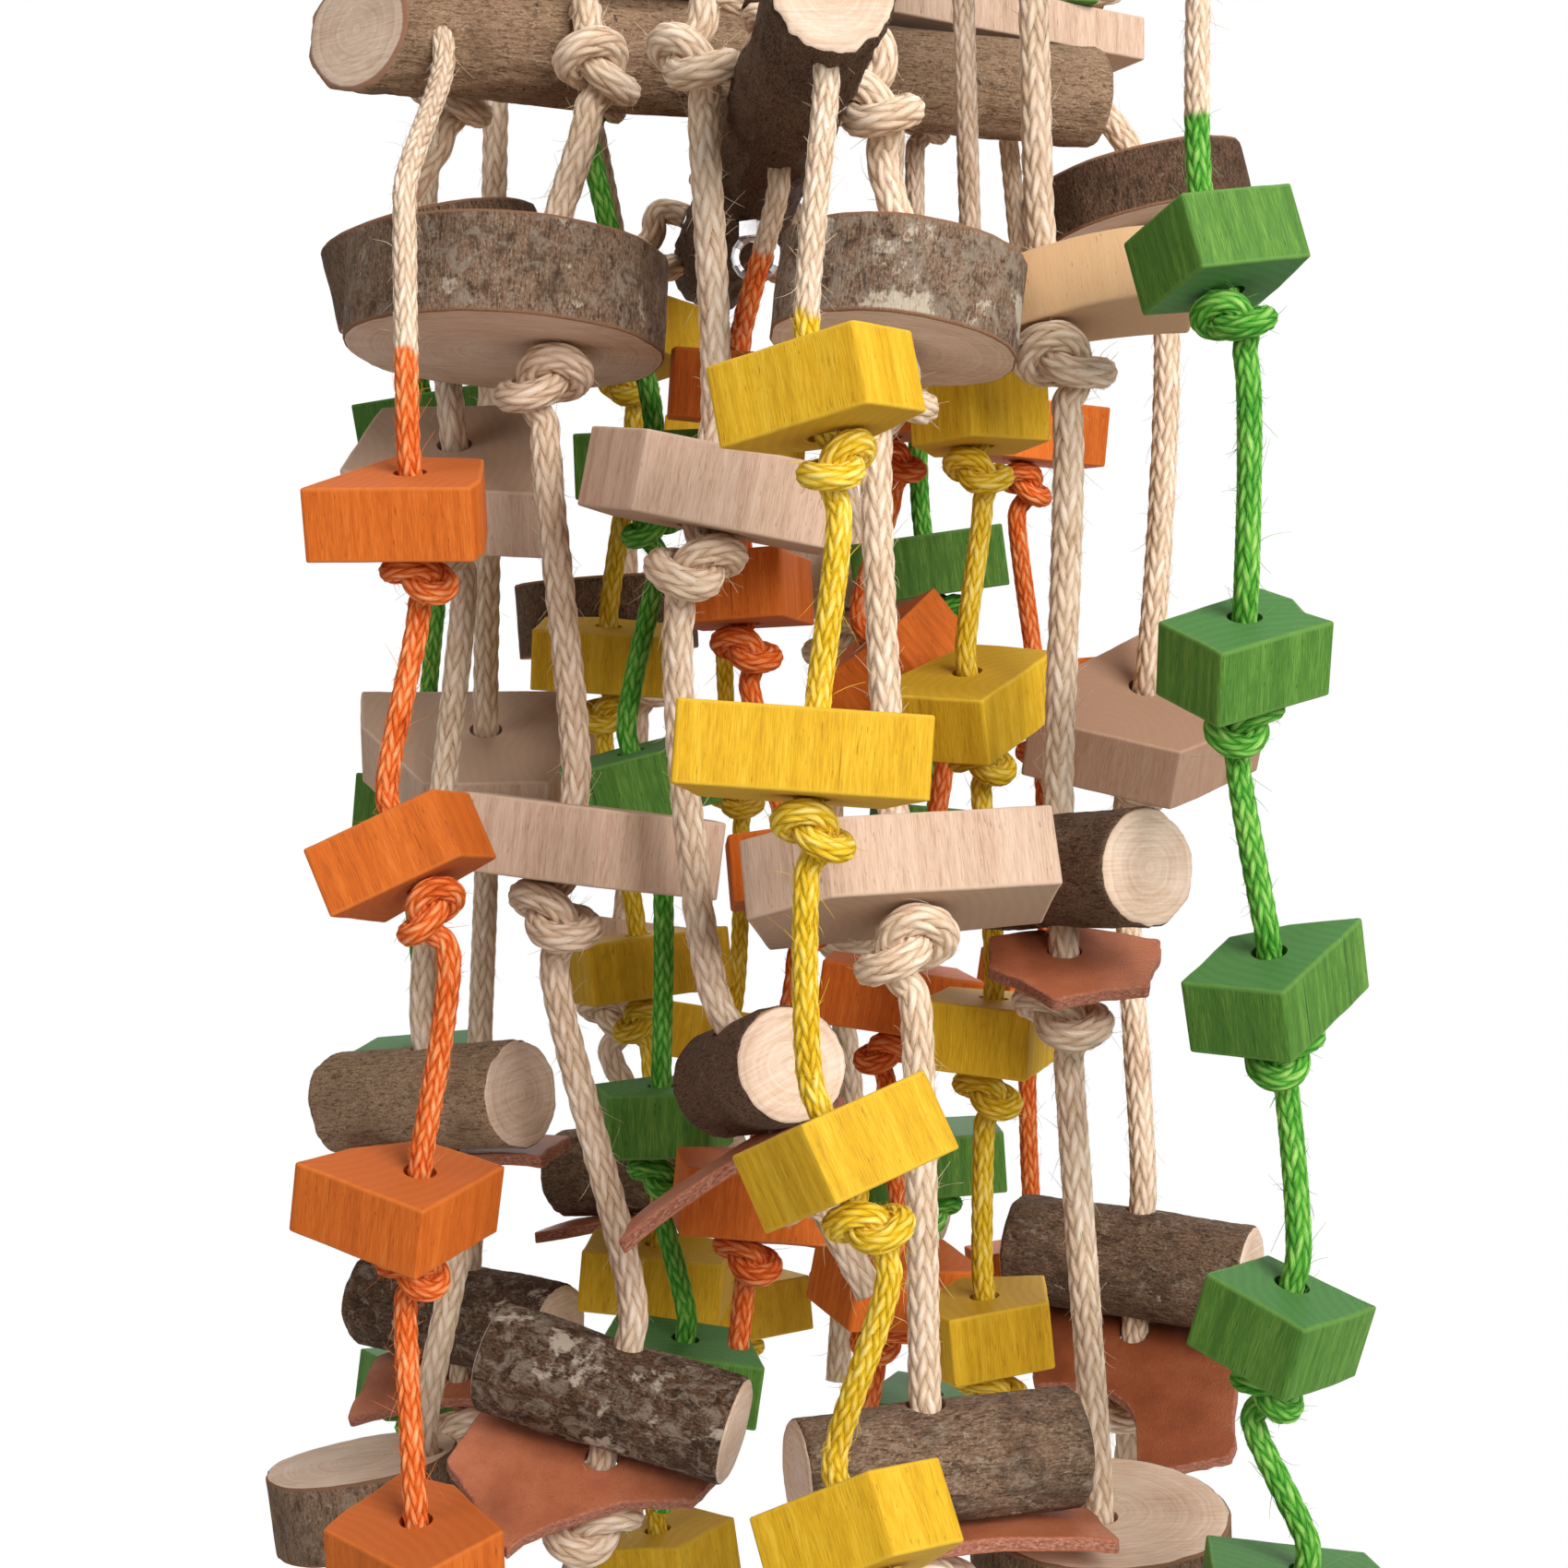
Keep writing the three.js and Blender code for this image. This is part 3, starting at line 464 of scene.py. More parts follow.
class Finish(Nodes):
    """A procedural material."""

    def __init__(self, name, roughness=0.8, metallic=0.0, specular=0.3):
        self.material = bpy.data.materials.new(name)
        self.material.use_nodes = True
        super().__init__(self.material.node_tree)
        self.shader = self.tree.nodes["Principled BSDF"]
        self.shader.inputs["Roughness"].default_value = roughness
        self.shader.inputs["Metallic"].default_value = metallic
        self.shader.inputs["Specular IOR Level"].default_value = specular

    def attribute(self, name, output="Fac"):
        return self.node("Attribute", {}, output, attribute_name=name)

    def split(self, vector):
        node = self.node("SeparateXYZ", {0: vector}).socket.node
        return [Value(self, socket) for socket in node.outputs]

    def vector(self, *parts):
        return self.node("CombineXYZ", dict(enumerate(parts)))

    def from_heart(self):
        """The place across a branch, and its distance from the heart."""
        x, y, _ = self.split(self.attribute("grain", "Vector"))
        return x, y, self.math("SQRT", x * x + y * y)

    def noise(self, vector, scale, detail=3.0, roughness=0.55, distortion=0.0):
        inputs = {"Vector": vector, "Scale": scale, "Detail": detail}
        return self.node("TexNoise", inputs | {"Roughness": roughness, "Distortion": distortion})

    def grain(self, scale, detail=3.0, roughness=0.55, distortion=0.0, stretch=(1, 1, 1)):
        """Noise in a piece's own frame, with Z along its fibres."""
        place = self.attribute("grain", "Vector")
        place = self.node("VectorMath", {0: place, 1: stretch}, operation="MULTIPLY")
        return self.noise(place, scale, detail, roughness, distortion)

    def ramp(self, value, *stops):
        """A colour or grey ramp, from stops of (place, colour)."""
        ramp = self.node("ValToRGB", {0: value})
        points = ramp.socket.node.color_ramp.elements
        while len(points) < len(stops):
            points.new(0.5)
        for point, (place, colour) in zip(points, stops):
            point.position = place
            point.color = linear(colour) if isinstance(colour, tuple) else (colour, colour, colour, 1)
        return ramp

    def pick(self, share, first, second):
        return self.node("Mix", {0: share, 2: first, 3: second})

    def mix(self, share, first, second):
        return self.node("Mix", {0: share, 6: linear(first), 7: linear(second)}, 2, data_type="RGBA")

    def cover(self, under, over, value, *stops):
        """One colour over another, by its share at places of a value."""
        return self.mix(self.ramp(value, *stops), under, over)

    def level(self, value, low, high, to_low=0.0, to_high=1.0):
        return self.node("MapRange", {0: value, 1: low, 2: high, 3: to_low, 4: to_high})

    def colour(self, value):
        self.link(value, self.shader.inputs["Base Color"])

    def rough(self, value):
        self.link(value, self.shader.inputs["Roughness"])

    def bump(self, height, distance, strength):
        bump = self.node("Bump", {"Height": height, "Distance": distance * MM, "Strength": strength})
        self.link(bump, self.shader.inputs["Normal"])


def wood_finish(name, light, middle, dark, end, contrast=1.0):
    """Cross-cut wood: fine streaks down its sides, growth rings, a smoother cut on its faces, and a painted
    highlight on its rounded edges.
    """
    finish = Finish(name, roughness=0.72)
    warp = finish.grain(0.05, 2, stretch=(1, 1, 0.1))
    rings = finish.math("SINE", 14.0 * warp + 1.9 * finish.from_heart()[2])
    fine = finish.grain(3.0, 3, 0.6, stretch=(1, 1, 0.06))
    broad = finish.grain(0.25, 3, stretch=(1, 1, 0.06))
    streak = 0.95 * (fine - 0.5) + 0.04 * rings + 0.6 * broad - 0.3
    shaded = blend(middle, dark, 0.5)
    side = finish.ramp(contrast * streak + 0.5, (0.22, shaded), (0.5, middle), (0.8, light))
    lines = finish.ramp(finish.grain(0.7, 2, stretch=(1, 1, 0.012)), (0.245, 0.2), (0.282, 1.0))
    side = finish.mix(1.0 - lines, side, dark)
    side = finish.cover(side, dark, finish.grain(1.7, 2, stretch=(1, 1, 0.14)), (0.27, 0.7), (0.33, 0.0))
    sawn = 0.07 * rings + 0.5 * finish.grain(1.4, 4, 0.6) + 0.25
    top = finish.ramp(sawn, (0.25, blend(end, shaded, 0.6)), (0.62, end))
    plain = finish.mix(finish.attribute("face"), side, top)
    # worn is a painted highlight: a paler colour on the rounded edges and the hole's rim, where they catch
    # the light
    worn = finish.mix(0.3 * finish.attribute("edge"), plain, light)
    finish.colour(finish.mix(finish.level(finish.attribute("tone"), 0, 5), worn, dark))
    finish.rough(finish.level(fine, 0.2, 0.8, 0.62, 0.85))
    finish.bump(0.5 * fine + 0.5 * lines, 0.3, 0.7)
    return finish.material


def bark_finish():
    """Bark: fine speckle and streaks along the branch, pale lichen in patches, from tan to dark brown."""
    finish = Finish("bark", roughness=0.92, specular=0.15)
    tone = finish.attribute("tone")
    lichen = finish.attribute("lichen")

    def toned(*colours):
        return finish.ramp(tone, *zip((0.0, 0.45, 1.0), colours))

    base = toned((176, 142, 110), (130, 103, 82), (86, 61, 44))
    deep = toned((112, 82, 56), (64, 46, 34), (36, 24, 16))
    pale = toned((206, 180, 148), (172, 147, 123), (130, 103, 82))
    streak = finish.grain(1.3, 5, 0.65, stretch=(1, 1, 0.22))
    speckle = finish.grain(1.7, 4, 0.7, stretch=(1, 1, 0.55))
    mottle = finish.grain(0.2, 5, 0.7, 0.5, (1, 1, 0.6))
    cracks = finish.grain(0.5, 5, 0.65, 0.8, (1, 1, 0.35))
    mixed = finish.cover(base, deep, streak, (0.38, 0.8), (0.53, 0.0))
    mixed = finish.cover(mixed, pale, speckle, (0.48, 0.0), (0.66, 0.8))
    mixed = finish.cover(mixed, deep, cracks, (0.33, 0.75), (0.43, 0.0))
    mixed = finish.mix(finish.ramp(mottle, (0.36, 0.9), (0.5, 0.0)) * lichen, mixed, deep)
    mixed = finish.cover(mixed, deep, finish.grain(0.055, 3, 0.6, 0.6), (0.3, 0.4), (0.5, 0.0))
    bias = 0.2 * (lichen - 0.5)
    small = finish.grain(0.19, 5, 0.7, 0.8) + bias + 0.2 * speckle
    mixed = finish.cover(mixed, (156, 141, 124), small, (0.65, 0.0), (0.78, 0.6))
    wide = finish.grain(0.07, 4, 0.66, 0.3) + bias + 0.16 * speckle
    mixed = finish.cover(mixed, (200, 186, 166), wide, (0.75, 0.0), (0.81, 0.8))
    mixed = finish.cover(mixed, (48, 39, 33), finish.grain(0.42, 2), (0.66, 0.0), (0.75, 0.75))
    mixed = finish.mix(finish.attribute("scar"), mixed, (62, 48, 38))
    finish.colour(finish.mix(finish.attribute("edge"), mixed, (142, 104, 78)))
    finish.bump(0.5 * speckle + 0.8 * cracks + streak, 0.7, 0.9)
    return finish.material


def sawn_finish():
    """Sawn end of a branch: pale rings, saw marks, a warm heart and a brown line under the bark."""
    finish = Finish("sawn_end", roughness=0.75)
    x, y, reach = finish.from_heart()
    wander = finish.grain(0.12, 3)
    rings = finish.noise(finish.vector(1.6 * wander + 0.75 * reach), 1.0, 3)
    rays = finish.noise(finish.vector(9.0 * finish.math("ARCTAN2", y, x), reach), 1.0, 3)
    marks = finish.grain(1.0, 3, stretch=(0.08, 1.6, 0.2))
    tint = 0.4 * rings + 0.14 * rays + 0.34 * marks + 0.3 * finish.grain(0.07, 3) - 0.16
    wood = finish.ramp(tint, (0.25, (190, 153, 125)), (0.44, (222, 195, 171)), (0.62, (240, 221, 204)))
    heart = finish.ramp(5.0 * wander + reach, (0.0, 1.0), (1.0, 0.0))
    wood = finish.mix(0.4 * heart, wood, (176, 138, 108))
    rim = 1.1 * wander + finish.attribute("rim")
    wood = finish.cover(wood, (140, 92, 64), rim, (0.35, 0.9), (1.0, 0.0))
    tone = finish.level(finish.attribute("tone"), 0, 1, 0.0, 0.15)
    finish.colour(finish.mix(tone, wood, (182, 138, 104)))
    finish.bump(0.15 * rings + marks, 0.22, 0.7)
    return finish.material


def rope_finish(name, light=None, middle=None, crease_shade=None):
    """Plaited sisal: yarns crossing over each other, fibres along each yarn, dye from a line downwards,
    painted shade in the creases between yarns and a painted highlight on their crowns.
    """
    finish = Finish(name, roughness=0.82, specular=0.25)
    u, v, _ = finish.split(finish.node("UVMap", {}, uv_map="UVMap"))
    around = 0.035 * (finish.grain(0.35, 2) - 0.5) + u
    ways = [(around - v) * float(BRAID_COUNT), (around + v) * float(BRAID_COUNT)]
    first_cell, second_cell = (finish.math("FLOOR", way) for way in ways)
    first_part, second_part = (finish.math("FRACT", way) for way in ways)
    cells = first_cell + second_cell
    place = finish.math("FLOORED_MODULO", cells, 4.0)
    over = finish.math("GREATER_THAN", place, 1.5)
    across = finish.pick(over, first_part, second_part) - 0.5
    run = finish.math("FLOORED_MODULO", place, 2.0) + finish.pick(over, second_part, first_part)
    lengthwise = 0.5 * run - 0.5
    lens = (1.0 - 2.4 * across * across) * (1.0 - 2.6 * lengthwise * lengthwise)
    yarn = finish.pick(over, first_cell, second_cell)
    segment = finish.vector(yarn, finish.math("FLOOR", 0.25 * cells), over)
    own = finish.node("TexWhiteNoise", {"Vector": segment}, noise_dimensions="3D")
    fibre = finish.noise(finish.vector(9.0 * across, 2.2 * lengthwise, 40.0 * own), 1.0, 4, 0.65)
    # The lens term paints shade into the creases between yarns and a highlight on their crowns; fibre, grain
    # and own give the yarns' own tone
    shade = 1.1 * (fibre - 0.5) + 0.4 * finish.grain(0.1, 3) + 0.55 * lens + 0.26 * (own - 0.5) - 0.1
    colour = finish.ramp(shade, (0.0, (140, 105, 75)), (0.24, (200, 169, 138)), (0.48, (225, 197, 169)),
                         (0.82, (248, 230, 209)))
    if light:
        soft = blend(middle, light, 0.4)
        dyed = finish.ramp(shade, (0.0, crease_shade), (0.4, middle), (0.62, soft), (0.92, light))
        colour = finish.mix(finish.attribute("dye"), colour, dyed)
    finish.colour(colour)
    finish.bump(0.4 * fibre + lens, 0.6, 0.8)
    return finish.material


def fibre_finish(name, light, dark):
    """Loose fibres that stand off a rope, dyed or not."""
    finish = Finish(name, roughness=0.7)
    share = finish.grain(0.3, 2)
    natural = finish.mix(share, (242, 226, 202), (210, 183, 149))
    finish.colour(finish.mix(finish.attribute("dye"), natural, finish.mix(share, light, dark)))
    return finish.material


def leather_finish(name, dark, middle, light):
    """Vegetable-tanned leather: a smooth grain side and rough fibrous cut edges."""
    finish = Finish(name, roughness=0.6, specular=0.35)
    face = finish.attribute("face")
    pores = finish.grain(1.6, 3)
    top = finish.ramp(finish.grain(0.05, 4, 0.6), (0.3, dark), (0.5, middle), (0.72, light))
    top = finish.cover(top, (120, 66, 46), pores, (0.35, 0.25), (0.5, 0.0))
    threads = finish.grain(0.8, 4, 0.7, stretch=(1, 1, 3))
    cut = finish.ramp(threads, (0.3, (108, 58, 42)), (0.5, (158, 98, 76)), (0.72, (204, 154, 130)))
    finish.colour(finish.mix(face, cut, top))
    finish.rough(finish.level(face, 0, 1, 0.95, 0.52))
    finish.bump(finish.mix(face, threads, pores), 0.5, 0.6)
    return finish.material


def steel_finish():
    finish = Finish("steel", roughness=0.22, metallic=1.0, specular=0.5)
    worn = finish.noise(finish.node("TexCoord", {}, "Object"), 320.0, 4)
    finish.colour(finish.ramp(worn, (0.3, (190, 190, 192)), (0.7, (208, 208, 210))))
    finish.rough(finish.level(worn, 0.3, 0.7, 0.2, 0.27))
    return finish.material


def floor_finish():
    finish = Finish("floor", roughness=0.9)
    finish.shader.inputs["Base Color"].default_value = (FLOOR_GREY, FLOOR_GREY, FLOOR_GREY, 1)
    lit = Value(finish, finish.shader.outputs[0])
    glow = finish.node("Emission", {"Color": WHITE, "Strength": 1.0})
    shown = finish.white_to_camera(FLOOR_WHITE, lit, glow)
    finish.link(shown, finish.tree.nodes["Material Output"].inputs["Surface"])
    return finish.material


# Wood: light, middle and dark of its streaks, its sawn faces, and its contrast
WOODS = {
    "orange": ((236, 132, 50), (216, 106, 24), (128, 50, 4), (206, 108, 46)),
    "yellow": ((238, 198, 64), (220, 170, 20), (140, 92, 4), (212, 168, 36)),
    "green": ((117, 156, 66), (74, 120, 38), (20, 48, 8), (73, 126, 62)),
    "pale": ((231, 205, 183), (211, 179, 154), (138, 94, 66), (192, 163, 138)),
    "tan": ((240, 200, 154), (230, 186, 138), (170, 118, 72), (206, 168, 130), 0.35),
}

# Dyed sisal: light (pale fibres and a painted highlight on the yarn crowns), middle and painted shade in the
# creases of its yarns, then light and dark of its loose fibres
DYES = {
    "orange": ((255, 190, 132), (228, 100, 26), (140, 40, 4), (246, 150, 80), (230, 110, 40)),
    "yellow": ((255, 236, 140), (226, 182, 18), (142, 96, 2), (248, 216, 80), (228, 184, 30)),
    "green": ((172, 216, 112), (70, 150, 40), (10, 62, 8), (130, 196, 100), (70, 150, 56)),
}

FINISHES = {
    "bark": bark_finish(),
    "sawn": sawn_finish(),
    "leather": leather_finish("leather", (154, 86, 54), (180, 103, 68), (198, 124, 88)),
    # brown: darker leather colours that are partly the leather's own and partly painted shade under its log
    "brown": leather_finish("brown_leather", (108, 52, 24), (132, 66, 34), (150, 84, 50)),
    "steel": steel_finish(),
    "floor": floor_finish(),
    "sisal": rope_finish("sisal"),
    "fibre_sisal": fibre_finish("fibre_sisal", (236, 222, 196), (206, 184, 150)),
}
for wood, colours in WOODS.items():
    FINISHES[wood] = wood_finish(f"{wood}_wood", *colours)
for dye, colours in DYES.items():
    FINISHES[f"sisal_{dye}"] = rope_finish(f"sisal_{dye}", *colours[:3])
    FINISHES[f"fibre_sisal_{dye}"] = fibre_finish(f"fibre_{dye}", *colours[3:])

SLOTS = {wood: f"{wood}_wood" for wood in (*WOODS, "bark")} | {"leather": "leather", "brown": "leather"}


# Meshes

def add_object(name, data):
    made = bpy.data.objects.new(name, data)
    bpy.context.scene.collection.objects.link(made)
    return made


def mesh_object(name, points, faces, finishes, smooth_angle=40, indices=None):
    """An object from points in millimetres in its own frame."""
    mesh = bpy.data.meshes.new(name)
    mesh.from_pydata((np.asarray(points) * MM).tolist(), [], faces)
    for finish in finishes:
        mesh.materials.append(FINISHES[finish])
    if indices is not None:
        mesh.polygons.foreach_set("material_index", indices)
    made = add_object(name, mesh)
    shade(made, smooth_angle)
    return made


def shade(made, smooth_angle):
    made.data.polygons.foreach_set("use_smooth", [True] * len(made.data.polygons))
    made.data.set_sharp_from_angle(angle=math.radians(smooth_angle))


def tag(made, **values):
    """Per-point values that the finishes read: numbers, or vectors as rows."""
    mesh = made.data
    count = len(mesh.vertices)
    for name, value in values.items():
        value = np.asarray(value, dtype=np.float32)
        if value.ndim == 2:
            layer = mesh.attributes.new(name, "FLOAT_VECTOR", "POINT")
            layer.data.foreach_set("vector", value.ravel())
        else:
            layer = mesh.attributes.new(name, "FLOAT", "POINT")
            layer.data.foreach_set("value", np.broadcast_to(value, (count,)).copy())


def points_of(made):
    flat = np.empty(len(made.data.vertices) * 3, dtype=np.float32)
    made.data.vertices.foreach_get("co", flat)
    return flat.reshape(-1, 3).astype(float) / MM


def stand(made, rotation, position):
    made.matrix_world = Matrix.Translation(Vector(position * MM)) @ Matrix(rotation.tolist()).to_4x4()


def ring_faces(rings, sides, closed):
    """Quads between rings of points, laid ring after ring."""
    faces = []
    for ring in range(rings if closed else rings - 1):
        low = ring * sides
        high = ((ring + 1) % rings) * sides
        for side in range(sides):
            after = (side + 1) % sides
            faces.append((low + side, low + after, high + after, high + side))
    return faces


def tube_faces(rings, sides):
    """Quads along a tube, then fans to the two points that close its ends."""
    faces = ring_faces(rings, sides, False)
    first = rings * sides
    end = first - sides
    for side in range(sides):
        after = (side + 1) % sides
        faces.append((after, side, first))
        faces.append((end + side, end + after, first + 1))
    return faces


def oblong(back, reach, half):
    return [[-back, -half], [reach, -half], [reach, half], [-back, half]]


def corner_line(spec):
    """A closed outline as points, curves included."""
    if isinstance(spec, list):
        return np.array(spec, dtype=float)
    if "round" in spec:
        return spec["round"] * circle(round_angles(96)) + np.array(spec["centre"])
    line = [np.array(spec["start"], dtype=float)]
    for step in spec["steps"]:
        *bend, end = np.array(step, dtype=float).reshape(-1, 2)
        line.extend(arc(line[-1], bend[0], end, 15)[1:] if bend else [end])
    return np.array(line)


def outline_loop(spec, corner, step):
    """The outline with its corners rounded and its edges divided."""
    line = corner_line(spec)
    loop = []
    for before, here, after in zip(np.roll(line, 1, axis=0), line, np.roll(line, -1, axis=0)):
        arrive, leave = here - before, after - here
        bend = abs(math.atan2(arrive[0] * leave[1] - arrive[1] * leave[0], arrive @ leave))
        if bend < SOFT_BEND:
            loop.append(here)
            continue
        back = min(corner * math.tan(bend / 2), 0.4 * np.linalg.norm(arrive), 0.4 * np.linalg.norm(leave))
        loop.extend(arc(here - back * unit(arrive), here, here + back * unit(leave), 5))
    fine = []
    for start, end in zip(loop, loop[1:] + loop[:1]):
        parts = max(1, int(round(np.linalg.norm(end - start) / step)))
        fine.extend(start + (end - start) * k / parts for k in range(parts))
    return np.array(fine)


def outward(loop):
    tangent = np.roll(loop, -1, axis=0) - np.roll(loop, 1, axis=0)
    return unit(np.stack([tangent[:, 1], -tangent[:, 0]], axis=1))


def slab_rings(thick, bevel):
    """Rings of a drilled slab, from the top of its hole outwards, down its side and back up the hole:
    (share of the way from hole to edge, inset from the edge, height, face, edge)."""
    half = thick / 2
    top = [(0, 0, half, 1, 0.3)] + [(share, bevel, half, 1, 0) for share in (0.12, 0.35, 0.6, 0.82, 0.94)]
    top.append((1, bevel + 0.5, half, 1, 0))
    angles = np.radians([0, 30, 60, 90])
    turn = [(1, bevel * (1 - math.sin(a)), half - bevel * (1 - math.cos(a)), 0.5, 1) for a in angles]
    layers = max(3, int(thick / 3))
    straight = half - bevel - min(0.5, thick / 10)
    side = [(1, 0, z, 0, 0) for z in np.linspace(straight, -straight, layers)]
    outer = top + turn + side
    lower = [(share, inset, -z, face, edge) for share, inset, z, face, edge in reversed(top + turn)]
    wall = [(0, 0, z, 0, 0) for z in np.linspace(-half, half, 5)[1:-1]]
    return outer + lower + wall


def slab_object(name, piece, rope, seed):
    """A slab of wood, bark disc or leather, drilled along its own Z."""
    is_disc = piece["kind"] == "bark_disc"
    is_leather = piece["kind"] == "leather"
    loop = outline_loop(piece["outline"], 2.0 if is_leather else 1.1, 2.2)
    edge_normal = outward(loop)
    flat = np.column_stack([loop, np.zeros(len(loop))])
    if is_leather:
        swell = lumps(flat, 9, seed) * 0.8 + lumps(flat, 2.5, seed + 1) * 0.45
    else:
        swell = lumps(flat, 16, seed) * (0.9 if is_disc else 0.35) + lumps(flat, 5, seed + 1) * 0.18
    loop = loop + edge_normal * swell[:, None]
    angle = np.maximum.accumulate(np.unwrap(np.arctan2(loop[:, 1], loop[:, 0])))
    hole = (rope["radius"] + (LEATHER_ROOM if is_leather else HOLE_ROOM)) * circle(angle)
    rings = np.array(slab_rings(piece["thick"], 0.5 if is_leather else 0.65), dtype=float)
    share, inset, height, face, edge = np.repeat(rings.T[:, :, None], len(loop), axis=2)
    spread = hole + (loop - edge_normal * inset[..., None] - hole) * share[..., None]
    centre = np.array(piece["outline"]["centre"] if is_disc else (0, 0))
    rim = np.linalg.norm(loop - centre, axis=1) - np.linalg.norm(spread - centre, axis=2)
    points = np.dstack([spread, height])
    finishes = [piece["colour"]]
    indices = None
    if is_disc:
        bark_ring = (rings[:, 0] == 1) & (rings[:, 3] < 1)
        rough_side(points, bark_ring, edge_normal, seed)
        finishes = ["sawn", "bark"]
        indices = np.repeat(bark_ring & np.roll(bark_ring, -1), len(loop)).astype(int)
    points = points.reshape(-1, 3)
    shape = points.copy()
    if is_leather:
        shape[:, 2] += lumps(points * (1, 1, 0), 22, seed) * 0.9 - LEATHER_SAG * (points[:, 0] / 40) ** 2
    made = mesh_object(name, shape, ring_faces(len(rings), len(loop), True), finishes, 35, indices)
    pith = centre if is_disc else np.array([55 * math.sin(seed), 48 * math.cos(1.7 * seed)])
    grain = points - np.append(pith, 0) + GRAIN_STEP * seed * UP
    tag(made, grain=grain, face=face.ravel(), edge=edge.ravel(), rim=rim.ravel())
    return made


def rough_side(points, bark_ring, edge_normal, seed):
    """Bark on a disc's side: fine ridges along the branch."""
    for ring, on_bark in enumerate(bark_ring):
        if on_bark:
            spots = points[ring] * (1, 1, 0.3)
            height = lumps(spots, 3.2, seed + 2) * 0.28 + lumps(points[ring], 1.6, seed + 3) * 0.14
            points[ring, :, :2] += edge_normal * height[:, None]


def branch_object(name, branch, seed, ridges=0.5, slant=0.0):
    """A branch along its own X with rough bark and worn sawn ends, the back one cut at a slant."""
    reach, back, radius = (branch[key] for key in ("reach", "back", "radius"))
    back_radius = branch.get("back_radius", radius)
    ring = circle(round_angles(BRANCH_SIDES))
    worn = LOG_BEVEL * (1 - math.sin(math.radians(40)))
    end = [(0, share, LOG_BEVEL, False) for share in (0.25, 0.5, 0.72, 0.88, 1)] + [(worn, 1, worn, True)]
    rings = [(depth - back, *rest) for depth, *rest in end]
    count = int((reach + back) / BARK_STEP)
    rings += [(x, 1, 0, True) for x in np.linspace(LOG_BEVEL - back, reach - LOG_BEVEL, count)]
    rings += [(reach - depth, *rest) for depth, *rest in reversed(end)]
    x, share, bevel, bark = (np.array(column)[:, None] for column in zip(*rings))
    whole = back_radius + (radius - back_radius) * (x + back) / (reach + back)
    wide = (whole - bevel) * share
    points = np.dstack([np.repeat(x, BRANCH_SIDES, axis=1), wide * ring[:, 0], wide * ring[:, 1]])
    lengthwise = points * (0.2, 1, 1)
    height = lumps(points * (0.5, 1, 1), 14, seed) * 0.75 + lumps(lengthwise, 4, seed + 1) * ridges
    height += lumps(lengthwise, 1.7, seed + 2) * 0.6 * ridges + lumps(points, 1.2, seed + 3) * 0.12
    if branch.get("scar"):
        height += scar_height(points, radius, *branch["scar"])
    wide_share = np.linalg.norm(points[:, :, 1:], axis=2) / max(radius, back_radius)
    points[:, :, 1:] += ring * (height * np.clip(wide_share, 0, 1) ** 2)[:, :, None]
    lean = slant * smooth(SLANT_REACH - back, -back, points[:, :, 0])
    points[:, :, 0] += lean * (back_radius - points[:, :, 1])
    centres = np.array([[slant * back_radius - back, 0, 0], [reach, 0, 0]])
    faces = [tuple(reversed(face)) for face in tube_faces(len(rings), BRANCH_SIDES)]
    bark = bark.ravel()
    indices = np.append(np.repeat(bark[:-1] & bark[1:], BRANCH_SIDES), np.zeros(2 * BRANCH_SIDES)).astype(int)
    points = np.vstack([points.reshape(-1, 3), centres])
    return mesh_object(name, points, faces, ["sawn", "bark"], 50, indices)


def scar_distance(points, radius, turn, x, size):
    spot = np.array([x, radius * math.cos(turn), radius * math.sin(turn)])
    return np.linalg.norm(points - spot, axis=-1) / size


def scar_height(points, radius, turn, x, size):
    """The swollen ring that a side branch leaves in the bark."""
    away = scar_distance(points, radius, turn, x, size)
    return 1.1 * np.exp(-((away - 0.75) ** 2) / 0.06) - 1.0 * np.exp(-(away**2) / 0.12)


def drill(made, radius, depth, sides=32):
    """Bores the rope's hole along Z through a branch."""
    ring = np.column_stack([radius * circle(round_angles(sides)), np.zeros(sides)])
    ends = np.vstack([ring - depth * UP, ring + depth * UP])
    faces = ring_faces(2, sides, False) + [tuple(reversed(range(sides))), tuple(range(sides, 2 * sides))]
    cutter = mesh_object("drill", ends, faces, ["sawn"])
    cut = made.modifiers.new("hole", "BOOLEAN")
    cut.object = cutter
    cut.solver = "EXACT"
    bpy.context.view_layer.update()
    shaped = bpy.data.meshes.new_from_object(made.evaluated_get(bpy.context.evaluated_depsgraph_get()))
    made.modifiers.clear()
    made.data = shaped
    bpy.data.objects.remove(cutter)
    shade(made, 50)


def tag_branch(made, branch, seed, looks):
    points = points_of(made)
    radius = (branch["radius"] + branch.get("back_radius", branch["radius"])) / 2
    scar = 0.0
    if branch.get("scar"):
        away = scar_distance(points, radius, *branch["scar"])
        scar = 0.9 * np.exp(-(away**2) / 0.1) + 0.45 * np.exp(-((away - 0.95) ** 2) / 0.02)
    grain = points[:, [1, 2, 0]] + GRAIN_STEP * seed * UP
    rim = radius - np.linalg.norm(points[:, 1:], axis=1)
    tag(made, grain=grain, rim=rim, edge=0.0, tone=looks[0], lichen=looks[1], scar=scar)


# Ropes

